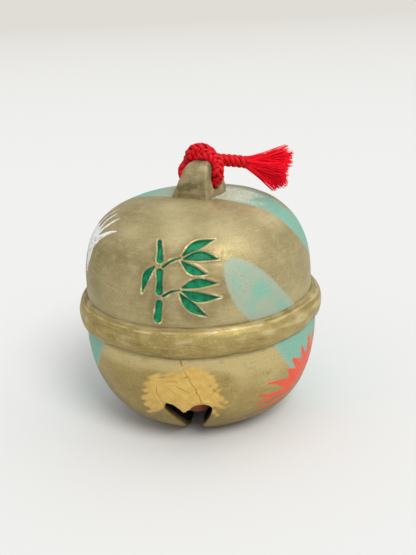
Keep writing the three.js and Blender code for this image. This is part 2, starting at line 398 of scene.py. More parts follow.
@dataclass(frozen=True)
class Profile:
    """One rounded quarter of the hollow body's outline."""

    radius: float
    rise: float  # negative where it hangs below the widest part
    spring: float  # height of the widest part
    across: float  # squareness, where 2 is an ellipse
    up: float

    def curve(self, grow: float = 0.0, steps: int = 400) -> np.ndarray:
        """Gives radius and height from the widest part to the axis, moved outwards by grow."""
        turn = np.linspace(0, math.pi / 2, steps)
        out = np.clip(np.cos(turn), 0, 1) ** (2 / self.across)
        out[-1] = 0
        height = np.sin(turn) ** (2 / self.up) * (self.rise + grow * math.copysign(1, self.rise))
        return np.column_stack([(self.radius + grow) * out, self.spring + height])

    def even(self, spacing: float, grow: float = 0.0) -> np.ndarray:
        """Gives the outline as points that are evenly spaced along it."""
        curve = self.curve(grow)
        walked = walked_along(curve)
        marks = np.linspace(0, walked[-1], round(walked[-1] / spacing) + 1)
        return np.column_stack([np.interp(marks, walked, curve[:, i]) for i in (0, 1)])

    def walk(self, radius: np.ndarray, height: np.ndarray) -> np.ndarray:
        """Gives the way along the outline from the widest part to a point on or near it."""
        curve = self.curve()
        walked = walked_along(curve)
        sign = math.copysign(1, self.rise)
        turned = np.arctan2(sign * (curve[:, 1] - self.spring), curve[:, 0])
        here = np.arctan2(sign * (height - self.spring), np.maximum(radius, 1e-6))
        return sign * np.interp(here, turned, walked)

    def radius_at(self, height: np.ndarray) -> np.ndarray:
        """Gives the radius at a height."""
        share = np.clip((height - self.spring) / self.rise, 0, 1)
        return self.radius * (1 - share**self.up) ** (1 / self.across)

    def unrolled(self, places: np.ndarray, middle: float) -> np.ndarray:
        """Lays the surface flat round a direction.

        Args:
            places: Points on or near the surface, one row each.
            middle: The direction that becomes the middle, in degrees from the front.

        Returns:
            Millimetres across, to the right, and up from the widest part.
        """
        radius = np.hypot(places[:, 0], places[:, 1])
        round_ = np.degrees(np.arctan2(places[:, 0], -places[:, 1])) - middle
        round_ = (round_ + 180) % 360 - 180
        return np.column_stack([radius * np.radians(round_), self.walk(radius, places[:, 2])])

    def flat(self, marks: Sequence[Point], middle: float) -> tuple[Point, ...]:
        """Lays marks flat that are given by direction in degrees from the front and by height."""
        turn, height = np.radians(np.array(marks, float)[:, 0]), np.array(marks, float)[:, 1]
        radius = self.radius_at(height)
        places = np.column_stack([radius * np.sin(turn), -radius * np.cos(turn), height])
        return tuple(map(tuple, self.unrolled(places, middle)))


def strokes_round(profile: Profile, middle: float, shift: float, table: Sequence) -> list[Stroke]:
    """Makes a stroke, laid flat, of each row of marks and widths.

    Args:
        profile: The surface that carries the strokes.
        middle: The direction round which it is laid flat, in degrees from the front.
        shift: How far all marks are turned, in degrees.
        table: Rows of marks, by direction and height, and of widths.

    Returns:
        The strokes.
    """
    turned = [([(turn + shift, height) for turn, height in marks], widths) for marks, widths in table]
    return [Stroke(profile.flat(marks, middle), widths) for marks, widths in turned]


# Finishes


def feed(tree: Tree, node: Node, sockets: Values) -> None:
    """Gives a node's inputs, by name or identifier, their values or the outputs that feed them."""
    for name, value in sockets.items():
        found = next(s for s in node.inputs if s.enabled and name in (s.identifier, s.name))
        if isinstance(value, Socket):
            tree.links.new(value, found)
        else:
            found.default_value = value


def add(tree: Tree, kind: str, settings: Values | None = None, sockets: Values | None = None) -> Node:
    """Adds a node with its settings, values and links.

    Args:
        tree: The tree that gets the node.
        kind: The node's type.
        settings: Properties of the node.
        sockets: What its inputs get.

    Returns:
        The new node.
    """
    node = tree.nodes.new(kind)
    for name, value in (settings or {}).items():
        setattr(node, name, value)
    feed(tree, node, sockets or {})
    return node


def noise(tree: Tree, vector: Socket, size: float, detail: float) -> Socket:
    """Gives a noise whose features have a size, in the unit of the vector."""
    sockets = {"Vector": vector, "Scale": 1 / size, "Detail": detail}
    return add(tree, "ShaderNodeTexNoise", {}, sockets).outputs[0]


def between(
    tree: Tree, value: Socket, low: float, high: float, top: float = 1.0, shape: str = "LINEAR"
) -> Socket:
    """Goes from 0 at the low value to the top at the high one."""
    sockets = {"Value": value, "From Min": low, "From Max": high, "To Max": top}
    return add(tree, "ShaderNodeMapRange", {"interpolation_type": shape}, sockets).outputs[0]


def mixed(tree: Tree, share: Socket, under: object, over: object, kind: str = "RGBA") -> Socket:
    """Lays one colour or value over another."""
    tail = "Color" if kind == "RGBA" else "Float"
    sockets = {"Factor_Float": share, f"A_{tail}": under, f"B_{tail}": over}
    node = add(tree, "ShaderNodeMix", {"data_type": kind}, sockets)
    return next(s for s in node.outputs if s.identifier == f"Result_{tail}")


def reckoned(tree: Tree, operation: str, *values: object) -> Socket:
    """Reckons with two or three values."""
    sockets = dict(zip(("Value", "Value_001", "Value_002"), values))
    return add(tree, "ShaderNodeMath", {"operation": operation}, sockets).outputs[0]


def noted(tree: Tree, name: str) -> Socket:
    """Reads a value that was noted on the mesh."""
    return add(tree, "ShaderNodeAttribute", {"attribute_name": name}).outputs["Fac"]


def new_material(name: str) -> tuple[bpy.types.Material, Tree, Node]:
    """Makes a material of nodes and gives it, its tree and its shader."""
    made = bpy.data.materials.new(name)
    made.use_nodes = True
    return made, made.node_tree, made.node_tree.nodes["Principled BSDF"]


@dataclass(frozen=True)
class Coat:
    """A coat that covers part of a piece: its mask is a distance in mm, negative where it lies."""

    mask: str
    thin: str
    thick: str
    roughness: float
    metallic: float
    ragged: float = 0.12  # how far its edge wanders, in mm
    bite: float = 0.0  # share of the ground that shows through
    grain: float = 0.7  # size of the gaps and blotches, in mm
    soft: float = 0.07  # half the width over which its edge thins out, in mm
    bay: float = 0.9  # size of the bays of its edge, in mm

    def laid(self, tree: Tree, point: Socket) -> tuple[Socket, Socket]:
        """Gives how far the coat covers each point, and its colour there."""
        wander = noise(tree, point, self.bay, 3)
        edge = reckoned(tree, "MULTIPLY_ADD", wander, 2 * self.ragged, noted(tree, self.mask))
        cover = between(tree, edge, self.ragged + self.soft, self.ragged - self.soft, shape="SMOOTHSTEP")
        dab = noise(tree, point, self.grain, 4)
        if self.bite:
            low, high = 0.24 + 0.3 * self.bite, 0.44 + 0.4 * self.bite
            cover = reckoned(tree, "MULTIPLY", cover, between(tree, dab, low, high, shape="SMOOTHSTEP"))
        thick = between(tree, dab, 0.35, 0.65, shape="SMOOTHSTEP")
        return cover, mixed(tree, thick, linear(self.thin), linear(self.thick))


# Celadon distemper sprayed thinly: chalky and matt, with the gold showing between the fine dots
AQUA = Coat("aqua", "#adb49a", "#99b09f", 0.62, 0.1, ragged=0.3, bite=0.14, grain=0.34, soft=0.45)
# The same distemper in a thicker, bluer coat
JADE = Coat("jade", "#84b8a3", "#74b09c", 0.6, 0.05, ragged=0.5, bite=0.2, grain=0.4, soft=1.6)
# Chalk rubbed over the same distemper
CHALK = Coat("chalk", "#c6cab4", "#d3dac4", 0.7, 0.0, ragged=0.8, bite=0.3, grain=0.5, soft=2.0)
# Opaque white body colour put on in single tapered brush strokes
WHITE = Coat("white", "#dfe1de", "#f6f7f4", 0.5, 0.0, ragged=0.05, bite=0.05)
# Vermilion body colour, opaque, in thin and thick strokes
VERMILION = Coat("vermilion", "#dc5236", "#f54e35", 0.5, 0.0, ragged=0.08, bite=0.1, grain=0.9)
# Malachite green enamel that fills the carved strokes, even, darker where it pooled
GREEN = Coat("green", "#006340", "#00895a", 0.45, 0.0, ragged=0.05, grain=1.6)
# Gold paint rubbed down to its pale primer
RUBBED = Coat("rubbed", "#c9b884", "#ddd0a6", 0.45, 0.3, ragged=0.1, bite=0.25, soft=0.16)
# Fresh, warmer gold paint brushed thickly over a repair, one stroke beside the other
FRESH_GOLD = Coat("fresh", "#cfab58", "#dab768", 0.42, 0.35, ragged=0.15, grain=2.4, soft=0.7)
# Bare clay of the knife's cut, dark olive which is partly painted shade, red where it is chipped
SHADED_CUT_CLAY = Coat("cut", "#51451f", "#6a4a2a", 0.85, 0.0, ragged=0.2, grain=2.2, soft=0.3)
# Painted shade: the bare earthenware inside, matt and coloured almost black, as it looks in its own shadow
INSIDE_SHADE = Coat("inner_shade", "#0f0b08", "#070504", 0.95, 0.0, ragged=0.5, soft=0.6)


@dataclass(frozen=True)
class BrushedGold:
    """Antique gold paint, a bronze powder in varnish, brushed over a fired clay body.

    It gives the eye a satin sheen, level brush marks, powder grain, olive and pale clouds where the
    coat is thin or rubbed, painted light and shade on the gold, and painted shade in the creases.
    """

    name: str
    coats: tuple[Coat, ...]
    base: str = "#ac9c70"
    olive: str = "#90824f"
    pale: str = "#c8b98b"
    # dark powder grain, and the painted shade in the creases
    dirt_and_shade: str = "#5f4e2b"
    roughness: float = 0.46
    metallic: float = 0.4
    shine: float = 0.25
    cloud: float = 16.0  # size of the clouds, in mm
    mottle: float = 2.3  # size of the blotches where a finger rubbed, in mm
    brush_mark: float = 0.6  # width of a brush mark, in mm
    mark_thinness: float = 0.12  # width of a brush mark over its length
    powder: float = 0.32  # size of the grain, coarser than the real powder so that it shows
    shade_share: float = 0.5  # share of the painted shade in the creases
    crease_reach: float = 1.5  # how far the painted shade reaches from a crease, in mm
    bump: float = 0.35
    bump_height: float = 0.06  # of brush marks and grain, in mm

    def material(self) -> bpy.types.Material:
        """Makes the material.

        Returns:
            The material, with its coats in order from the ground up.
        """
        made, tree, shader = new_material(self.name)
        place = add(tree, "ShaderNodeTexCoord").outputs["Object"]
        per_mm = {"Vector": place, "Scale": (1 / MM,) * 3}
        thin = self.mark_thinness / MM
        level = {"Vector": place, "Scale": (thin, thin, 1 / MM)}
        point = add(tree, "ShaderNodeMapping", {}, per_mm).outputs[0]
        along = add(tree, "ShaderNodeMapping", {}, level).outputs[0]
        mottle = noise(tree, point, self.mottle, 4)
        powder = noise(tree, point, self.powder, 3)
        mark = noise(tree, along, self.brush_mark, 3)
        colour = self.ground(tree, point, mottle, powder, mark)
        sheen = between(tree, mottle, 0.3, 0.7, shape="SMOOTHSTEP")
        rough = mixed(tree, sheen, self.roughness - 0.08, self.roughness + 0.12, "FLOAT")
        metal: object = self.metallic
        for coat in self.coats:
            cover, paint = coat.laid(tree, point)
            colour = mixed(tree, cover, colour, paint)
            rough = mixed(tree, cover, rough, coat.roughness, "FLOAT")
            metal = mixed(tree, cover, metal, coat.metallic, "FLOAT")
        relief = reckoned(tree, "MULTIPLY_ADD", mark, 0.5, powder)
        bump = {"Strength": self.bump, "Distance": self.bump_height * MM, "Height": relief}
        normal = add(tree, "ShaderNodeBump", {}, bump).outputs[0]
        feed(tree, shader, {"Base Color": colour, "Roughness": rough, "Metallic": metal})
        feed(tree, shader, {"Normal": normal, "Specular IOR Level": self.shine})
        return made

    def ground(self, tree: Tree, point: Socket, mottle: Socket, powder: Socket, mark: Socket) -> Socket:
        """Lays clouds, wear, painted light and shade, blotches, brush marks and powder over the base
        colour.

        Args:
            tree: The material's tree.
            point: The place on the piece, in mm.
            mottle: Noise of the blotches.
            powder: Noise of the grain.
            mark: Noise of the brush marks.

        Returns:
            The colour of the gold under any coat.
        """
        cloud = noise(tree, point, self.cloud, 2)
        # Painted light and shade with wear: paler where a piece is lit or rubbed, more olive where it is
        # shaded
        wear_and_light = noted(tree, "wear_and_light")
        colour: object = linear(self.base)
        # Each layer: where it lies, the values between which it comes in, its most, and its colour
        for value, low, high, top, tone in (
            (cloud, 0.7, 0.3, 0.4, self.olive),
            (wear_and_light, 0.0, 1.0, 1.0, self.pale),
            (wear_and_light, 0.0, -1.0, 1.0, self.olive),
            (mottle, 0.5, 0.7, 0.3, self.pale),
            (mottle, 0.45, 0.28, 0.3, self.olive),
            (mark, 0.54, 0.68, 0.26, self.pale),
            (mark, 0.44, 0.3, 0.24, self.olive),
            (powder, 0.56, 0.7, 0.42, self.pale),
            (powder, 0.44, 0.3, 0.4, self.dirt_and_shade),
        ):
            share = between(tree, value, low, high, top, "SMOOTHSTEP")
            colour = mixed(tree, share, colour, linear(tone))
        # Painted shade: the dark colour laid into the creases
        out_of_shade = between(tree, noted(tree, "crease_shade"), 0.0, self.crease_reach, shape="SMOOTHSTEP")
        in_crease = reckoned(tree, "SUBTRACT", 1.0, out_of_shade)
        return mixed(tree, reckoned(tree, "MULTIPLY", in_crease, self.shade_share), colour, linear(self.dirt_and_shade))


@dataclass(frozen=True)
class Earthenware:
    """Bare fired clay of the loose pellet: red-brown, chalky and matt, with small pores."""

    name: str = "earthenware"
    base: str = "#a4563f"
    pale: str = "#bd7459"
    pore: str = "#5e2f22"
    roughness: float = 0.88
    cloud: float = 2.5  # size of the paler clouds, in mm
    grit: float = 1 / 2.2  # size of the pores, in mm

    def material(self) -> bpy.types.Material:
        """Makes the material."""
        made, tree, shader = new_material(self.name)
        place = add(tree, "ShaderNodeTexCoord").outputs["Object"]
        grit = noise(tree, place, self.grit * MM, 3)
        body = mixed(tree, noise(tree, place, self.cloud * MM, 5), linear(self.base), linear(self.pale))
        colour = mixed(tree, between(tree, grit, 0.4, 0.3, 0.7), body, linear(self.pore))
        bump = {"Strength": 0.5, "Distance": 0.1 * MM, "Height": grit}
        normal = add(tree, "ShaderNodeBump", {}, bump).outputs[0]
        feed(tree, shader, {"Base Color": colour, "Normal": normal, "Roughness": self.roughness})
        return made


@dataclass(frozen=True)
class DyedRayon:
    """Dyed rayon yarn: saturated and silky, with paler fibre streaks that are partly painted highlight, and
    painted shade between the yarns.
    """

    name: str
    base: str
    light: str
    deep: str
    roughness: float
    shine: float = 0.12
    fibre: float = 0.12  # width of a fibre across the yarn, coarser than real so that it shows

    def material(self) -> bpy.types.Material:
        """Makes the material. It reads the yarn's own UV map, in mm across and along."""
        made, tree, shader = new_material(self.name)
        laid = add(tree, "ShaderNodeUVMap", {"uv_map": "yarn"}).outputs[0]
        stretch = {"Vector": laid, "Scale": (1 / self.fibre, 0.35, 1)}
        strand = noise(tree, add(tree, "ShaderNodeMapping", {}, stretch).outputs[0], 1, 2)
        # Paler streaks along the fibres: fibre tone, and partly painted highlight
        yarn = mixed(tree, between(tree, strand, 0.35, 0.68), linear(self.base), linear(self.light))
        # Painted shade: the deep colour where the yarn lies in among the others
        colour = mixed(tree, noted(tree, "inner"), yarn, linear(self.deep))
        bump = {"Strength": 0.6, "Distance": 0.05 * MM, "Height": strand}
        normal = add(tree, "ShaderNodeBump", {}, bump).outputs[0]
        feed(tree, shader, {"Base Color": colour, "Normal": normal})
        feed(tree, shader, {"Roughness": self.roughness, "Specular IOR Level": self.shine})
        return made


class Body(Enum):
    """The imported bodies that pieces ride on."""

    BELL = "bell"
    PELLET = "pellet"
    TAIL = "tail"


class Slot(Enum):
    """The record's material slots."""

    GOLD = "gold_clay"
    MENDED = "mended_gold"
    CLAY = "bare_clay"
    BRAID = "red_braid"
    FIBRE = "red_fibre"


def settle(piece: Object, material: bpy.types.Material, slot: Slot, *nodes: str) -> Object:
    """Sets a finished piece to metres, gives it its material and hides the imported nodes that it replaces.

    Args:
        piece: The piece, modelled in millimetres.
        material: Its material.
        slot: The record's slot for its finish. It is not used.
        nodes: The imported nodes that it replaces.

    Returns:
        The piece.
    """
    piece.data.transform(Matrix.Scale(MM, 4))
    piece.data.materials.clear()
    piece.data.materials.append(material)
    piece.data.shade_smooth()
    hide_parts(*nodes)
    piece.data.calc_loop_triangles()
    log.info("%s: %d triangles", piece.name, len(piece.data.loop_triangles))
    return piece


# The clay body

WALL = 3.5
DOME_HIGH = node_box("upper_dome")[1]
BOWL_HIGH = node_box("lower_bowl")[1]
BELT_LOW, BELT_HIGH = node_box("waist_belt")
JOINT_HEIGHT = float(BOWL_HIGH[2])
SPRING_HEIGHT = 37.7  # where dome and bowl are widest
DOME = Profile(float(DOME_HIGH[0]), float(DOME_HIGH[2]) - SPRING_HEIGHT, SPRING_HEIGHT, 3.45, 3.06)
BOWL = Profile(float(BOWL_HIGH[0]), -(SPRING_HEIGHT + 0.45), SPRING_HEIGHT, 3.11, 2.99)
# Directions of the white fans and the vermilion fronds, in degrees from the front
WISPS_AT, OTHER_WISPS_AT = -66, 150
FROND_AT, OTHER_FROND_AT = 60, -150
# The hairline crack from the belt to the repair, in the front view
HAIRLINE = ((-0.7, 32.5), (-0.6, 31.0), (-0.1, 28.6), (0.9, 26.2))


@dataclass
class Ornament:
    """The carved ornament on the front: a sprig of bamboo, cut with a flat chisel."""

    middle: Point = (0.0, 16.6)  # across, and up from the widest part
    depth: float = 0.85
    wall: float = 0.42  # width of the cut's sloping side
    burr: float = 0.1  # height of the clay that the chisel threw up
    burr_width: float = 0.45
    burr_away: float = 0.25  # from the cut's edge to the burr's top
    half_size: Point = (12.8, 12.6)  # of the area that is refined
    reach: float = 20.0  # past it no distance is reckoned

    def strokes(self) -> list[Stroke]:
        """Gives the chisel's strokes: three lengths of cane, two twigs and seven leaves."""
        cane = [
            (((-6.6, -11.2), (-6.2, -9.0), (-5.9, -6.8)), (2.6, 2.1, 2.4)),
            (((-5.7, -3.4), (-5.5, -0.7), (-5.5, 1.9)), (2.4, 1.9, 2.3)),
            (((-5.5, 5.2), (-5.6, 7.8), (-6.0, 10.6)), (2.2, 1.7, 1.5)),
        ]
        twigs = [
            (((-4.6, 3.3), (-2.2, 5.0), (0.2, 5.9)), (1.0, 0.9, 0.7)),
            (((-4.7, -4.7), (-2.4, -3.4), (0.0, -2.9)), (1.0, 0.9, 0.7)),
        ]
        leaves = [
            (((0.9, 6.6), (4.4, 9.4), (9.4, 10.8)), (0.9, 3.0, 0.3)),
            (((1.2, 5.6), (5.4, 6.3), (10.8, 4.9)), (0.9, 3.0, 0.3)),
            (((0.7, 4.8), (3.6, 2.5), (7.6, 1.1)), (0.9, 2.7, 0.3)),
            (((0.8, -2.2), (5.0, -1.1), (10.6, -1.5)), (0.9, 2.9, 0.3)),
            (((0.8, -3.2), (4.9, -4.9), (11.2, -5.4)), (0.9, 3.1, 0.3)),
            (((0.2, -4.0), (2.9, -7.4), (7.4, -10.6)), (0.9, 3.0, 0.3)),
            (((-7.0, 3.4), (-9.4, 0.6), (-10.9, -4.4)), (0.8, 2.4, 0.3)),
        ]
        return strokes_of(cane + twigs + leaves)

    def distance(self, places: np.ndarray) -> np.ndarray:
        """Gives each point's distance to the carving's edge, negative inside it."""
        plane = DOME.unrolled(places, 0) - np.array(self.middle)
        near = (np.abs(plane) < self.reach).all(axis=1) & (places[:, 1] < 0)
        found = np.full(len(places), self.reach)
        found[near] = nearest(self.strokes(), plane[near])
        return found

    def heights(self, places: np.ndarray) -> np.ndarray:
        """Gives the relief that the chisel leaves."""
        edge = self.distance(places)
        cut_away = rise(-edge, 0, self.wall) * np.minimum(self.depth, np.maximum(-edge, 0) * 1.6)
        thrown = self.burr * np.exp(-(((edge - self.burr_away) / self.burr_width) ** 2) * 4)
        return thrown * (edge > 0) - cut_away


@dataclass
class Dome:
    """The upper half of the hollow body, with its ornament and painted fields."""

    spacing: float = 0.5
    steps: int = 432
    inner_spacing: float = 2.6
    unevenness: float = 0.16

    def fields(self, places: np.ndarray) -> dict[str, np.ndarray]:
        """Gives the distance to each painted field's edge, negative inside it."""
        front = Patch(
            DOME.flat(
                [(21.5, 57.3), (24, 58.3), (27, 58.8), (32, 57.7), (38, 55.3), (44, 52.1), (51, 47.3)]
                + [(57, 43.5), (63, 39), (33, 38.5), (32, 40.7), (29, 42.8), (26, 45.5), (24, 47.7)]
                + [(22, 50.8), (21, 54.5)],
                40,
            )
        )
        aqua = front.distance(DOME.unrolled(places, 40))
        x, y, z = places.T
        line_x = (-34.5, -26, -18.2, -13.8, -8.7, 0, 7.3, 13.3, 19.8, 27.2, 30.3, 32.2, 33.3, 34.5)
        line_y = (11, 7, 3.5, 0.6, -1.9, -3.6, -4.9, -6.9, -7.9, -8.7, -7.5, -5.7, -3.5, 1)
        band = np.interp(x, line_x, line_y) - y
        back = y - np.interp(x, (-30, 7.1, 17, 26.4, 34), (16, 12.3, 10.7, 3.2, 9))
        upper = np.maximum(band, np.where(z > 52, back, -OUT_OF_REACH))
        ends = 0.5 * np.minimum(16 - x, x + 12)
        dabs = np.maximum(aqua + 2.2, 0.8 - 2.2 * lumps(places, 9, 61))
        jade = np.minimum(np.maximum(upper, ends), dabs)
        aqua = np.minimum(aqua, upper)
        chalk = np.maximum(upper + 1.0, 0.6 * np.abs(x - 11) - 4.6 - lumps(places, 6, 64))
        fans = [nearest(self.wisps(at), DOME.unrolled(places, at)) for at in (WISPS_AT, OTHER_WISPS_AT)]
        white = np.minimum(*fans)
        return {"aqua": aqua, "jade": jade, "chalk": chalk, "white": white}

    def wisps(self, middle: float) -> list[Stroke]:
        """Gives a fan of tapered white strokes from one root.

        Args:
            middle: Direction of the fan, in degrees from the front.

        Returns:
            The strokes, laid flat round that direction.
        """
        fans = [
            ([(-67, 50), (-66, 54), (-66.5, 57), (-67, 60)], (1.6, 3.6, 5.0, 4.0)),
            ([(-76, 48), (-76, 53), (-76, 57), (-75, 60.5)], (3.0, 5.0, 5.5, 4.5)),
            ([(-90, 46), (-88, 52), (-85, 57), (-82, 60)], (2.0, 4.6, 5.0, 3.0)),
            (
                [(-63, 59), (-57.5, 61.2), (-53.7, 62.3), (-50.6, 62.9), (-46.5, 63.4)],
                (3.0, 1.7, 1.2, 0.9, 0.2),
            ),
            (
                [(-66, 60.4), (-62.9, 62.1), (-60.8, 63.4), (-58.6, 64.6), (-54.5, 65.7)],
                (2.6, 1.4, 1.0, 0.8, 0.2),
            ),
            (
                [(-70, 60.6), (-68.1, 62.3), (-68.3, 63.5), (-67.1, 64.8), (-65.2, 66.0)],
                (2.6, 1.3, 1.0, 0.7, 0.2),
            ),
            (
                [(-75, 60.4), (-75.4, 62.4), (-76.5, 63.9), (-75.2, 65.2), (-73.2, 66.4)],
                (2.4, 1.0, 0.8, 0.6, 0.2),
            ),
            ([(-90, 56), (-88, 61), (-86, 64), (-84, 66)], (2.4, 1.4, 0.7, 0.2)),
            ([(-98, 55), (-99, 60), (-100, 63.5), (-101, 65.5)], (2.4, 1.4, 0.7, 0.2)),
        ]
        return strokes_round(DOME, middle, middle - WISPS_AT, fans)

    def build(self) -> Object:
        """Builds the dome.

        Returns:
            The finished piece.
        """
        ornament = Ornament()
        outer = DOME.even(self.spacing)[::-1]
        inner = DOME.even(self.inner_spacing, -WALL)
        rim = [(DOME.radius, JOINT_HEIGHT), (DOME.radius - WALL, JOINT_HEIGHT)]
        piece = spun("dome_shell", [*map(tuple, outer), *rim, *map(tuple, inner)], self.steps)

        def round_ornament(centres: np.ndarray) -> np.ndarray:
            """Chooses the faces near the ornament."""
            plane = DOME.unrolled(centres, 0) - np.array(ornament.middle)
            outside = np.hypot(centres[:, 0], centres[:, 1]) > DOME.radius_at(centres[:, 2]) - 1
            return (np.abs(plane) < ornament.half_size).all(axis=1) & (centres[:, 1] < 0) & outside

        refine(piece, round_ornament, 2)
        places = corners(piece)
        inside = self.inside(places)
        uneven = self.unevenness * lumps(places, 26, 3) + 0.03 * lumps(places, 5, 4)
        uneven *= rise(places[:, 2], JOINT_HEIGHT + 2, JOINT_HEIGHT + 8)
        push(piece, np.where(inside, 0, uneven + ornament.heights(places)))
        self.paint(piece, ornament, inside)
        coats = (AQUA, JADE, CHALK, RUBBED, WHITE, GREEN, INSIDE_SHADE)
        gold = BrushedGold("brushed_gold_dome", coats, base="#ad9d73", shade_share=0.35)
        settle(piece, gold.material(), Slot.GOLD, "upper_dome")
        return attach(piece, Body.BELL.value)

    def paint(self, piece: Object, ornament: Ornament, inside: np.ndarray) -> None:
        """Notes where the paints, the wear, the painted light and the painted shade lie.

        Args:
            piece: The shaped dome.
            ornament: The carving, which is filled with green.
            inside: Says of each vertex whether it is on the bare inner side.
        """
        places = corners(piece)
        x, y, z = places.T
        edge = ornament.distance(places)
        note(piece, "green", np.where(inside, OUT_OF_REACH, edge + 0.2))
        # The burr's top and one long scratch show the primer
        burr = np.abs(edge - 0.12) + 0.02 + 0.16 * lumps(places, 3, 5)
        scratch = DOME.flat([(-57.4, 55.6), (-52.4, 57.7), (-48.1, 59.4), (-46.5, 61.3)], -50)
        burr = np.minimum(burr, Stroke(scratch, (0.2,) * 4).distance(DOME.unrolled(places, -50)))
        note(piece, "rubbed", np.where(inside, OUT_OF_REACH, burr))
        for name, values in self.fields(places).items():
            note(piece, name, np.where(inside, OUT_OF_REACH, values))
        # Painted shade round the carved strokes and along the belt's edge
        shade = 0.5 * np.abs(edge - 0.7) + 0.55 + 0.4 * lumps(places, 7, 8)
        belt = z - BELT_HIGH[2] + 0.4
        note(piece, "crease_shade", np.minimum(np.maximum(belt, 0), shade))
        # Painted light and shade with random wear: paler at the top and just above the belt, darker on the
        # left side
        left = -np.degrees(np.arctan2(x, -y))
        wear_and_light = 0.4 * rise(z, 58, 66) + 0.15 * rise(z, 48, 41)
        wear_and_light += 0.25 * lumps(places, 14, 62) - 0.5 * rise(np.where(left < 120, left, 0), 20, 60)
        note(piece, "wear_and_light", wear_and_light)
        # Painted shade: the whole inside is coloured almost black
        note(piece, "inner_shade", np.where(inside, -5, 5))

    def inside(self, places: np.ndarray) -> np.ndarray:
        """Says which points lie on the inner side of the wall."""
        curve = DOME.curve(-WALL / 2)
        turned = np.arctan2(curve[:, 1] - SPRING_HEIGHT, curve[:, 0])
        far = np.hypot(curve[:, 0], curve[:, 1] - SPRING_HEIGHT)
        radius, up = np.hypot(places[:, 0], places[:, 1]), places[:, 2] - SPRING_HEIGHT
        return np.hypot(radius, up) < np.interp(np.arctan2(up, radius), turned, far)


@dataclass
class Mouth:
    """The holes at both ends, the slot that joins them, and the cracks round the glued piece."""

    height: float = 14.3  # where the holes are widest
    slot_width: float = 5.3
    lip: float = 0.8  # radius of the rounded edge
    crack_edge: float = 0.32
    crack: float = 0.09  # half the open width that the glue leaves
    fracture_step: float = 0.8  # length of the small steps of a broken side
    fracture_spread: float = 0.13  # how far they stray from the straight line

    def opening(self) -> tuple[Point, ...]:
        """Gives the front view of a hole with the slot below it, as the knife left it."""
        half = self.slot_width / 2
        right = [(half, 5.6), (3.9, 7.2), (5.2, 9.6), (6.1, 11.6), (6.7, 13.4), (6.8, 14.7), (6.1, 15.6)]
        top = [(5.3, 16.1), (4.5, 16.4), (2.5, 17.2), (0, 17.5), (-3, 17.4), (-5.9, 16.7), (-6.4, 15.9)]
        left = [(-6.9, 14.8), (-6.8, 13.7), (-6.1, 12.7), (-5.1, 11.3), (-4.2, 9.9), (-3.2, 8.5)]
        curve = smooth([*right, *top, *left, (-half, 6.9)], 4)
        return ((half, -2.0), *map(tuple, curve), (-half, -2.0))

    def fragment(self) -> tuple[Point, ...]:
        """Gives the outline of the broken piece in the front view: across and height."""
        crack = [(4.5, 2.1), (3.8, 5.2), (3.0, 7.2), (2.3, 8.5), (0.9, 11.9), (-2.6, 10.2)]
        crack += [(-8.4, 9.6), (-8.6, 6.1), (-6.8, 3.9), (-5.9, 2.4)]
        lip = [(-4.9, 2.1), (-3.6, 1.4), (-2.5, 0.5), (-2.0, -0.4), (-1.5, -1.0), (-0.6, -0.8)]
        lip += [(0.3, 0.0), (1.7, 1.5), (2.6, 2.0), (3.7, 2.1)]
        return tuple((x, z + self.height) for x, z in [*crack, *lip])

    def jagged(self, outline: Sequence[Point], seed: int) -> tuple[Point, ...]:
        """Breaks straight sides into the small steps of a fracture."""
        dice = np.random.default_rng(seed)
        ring: list[Point] = []
        for start, end in zip(outline, [*outline[1:], outline[0]]):
            count = max(1, round(math.dist(start, end) / self.fracture_step))
            for i in range(count):
                spread = self.fracture_spread if i else 0.0
                x, z = (a + (b - a) * i / count for a, b in zip(start, end))
                ring.append((x + spread * dice.normal(), z + spread * dice.normal()))
        return tuple(ring)

    def away(self, places: np.ndarray) -> np.ndarray:
        """Gives each point's distance to the opening's wall, negative inside the opening."""
        return Patch(self.opening()).distance(places[:, (0, 2)])


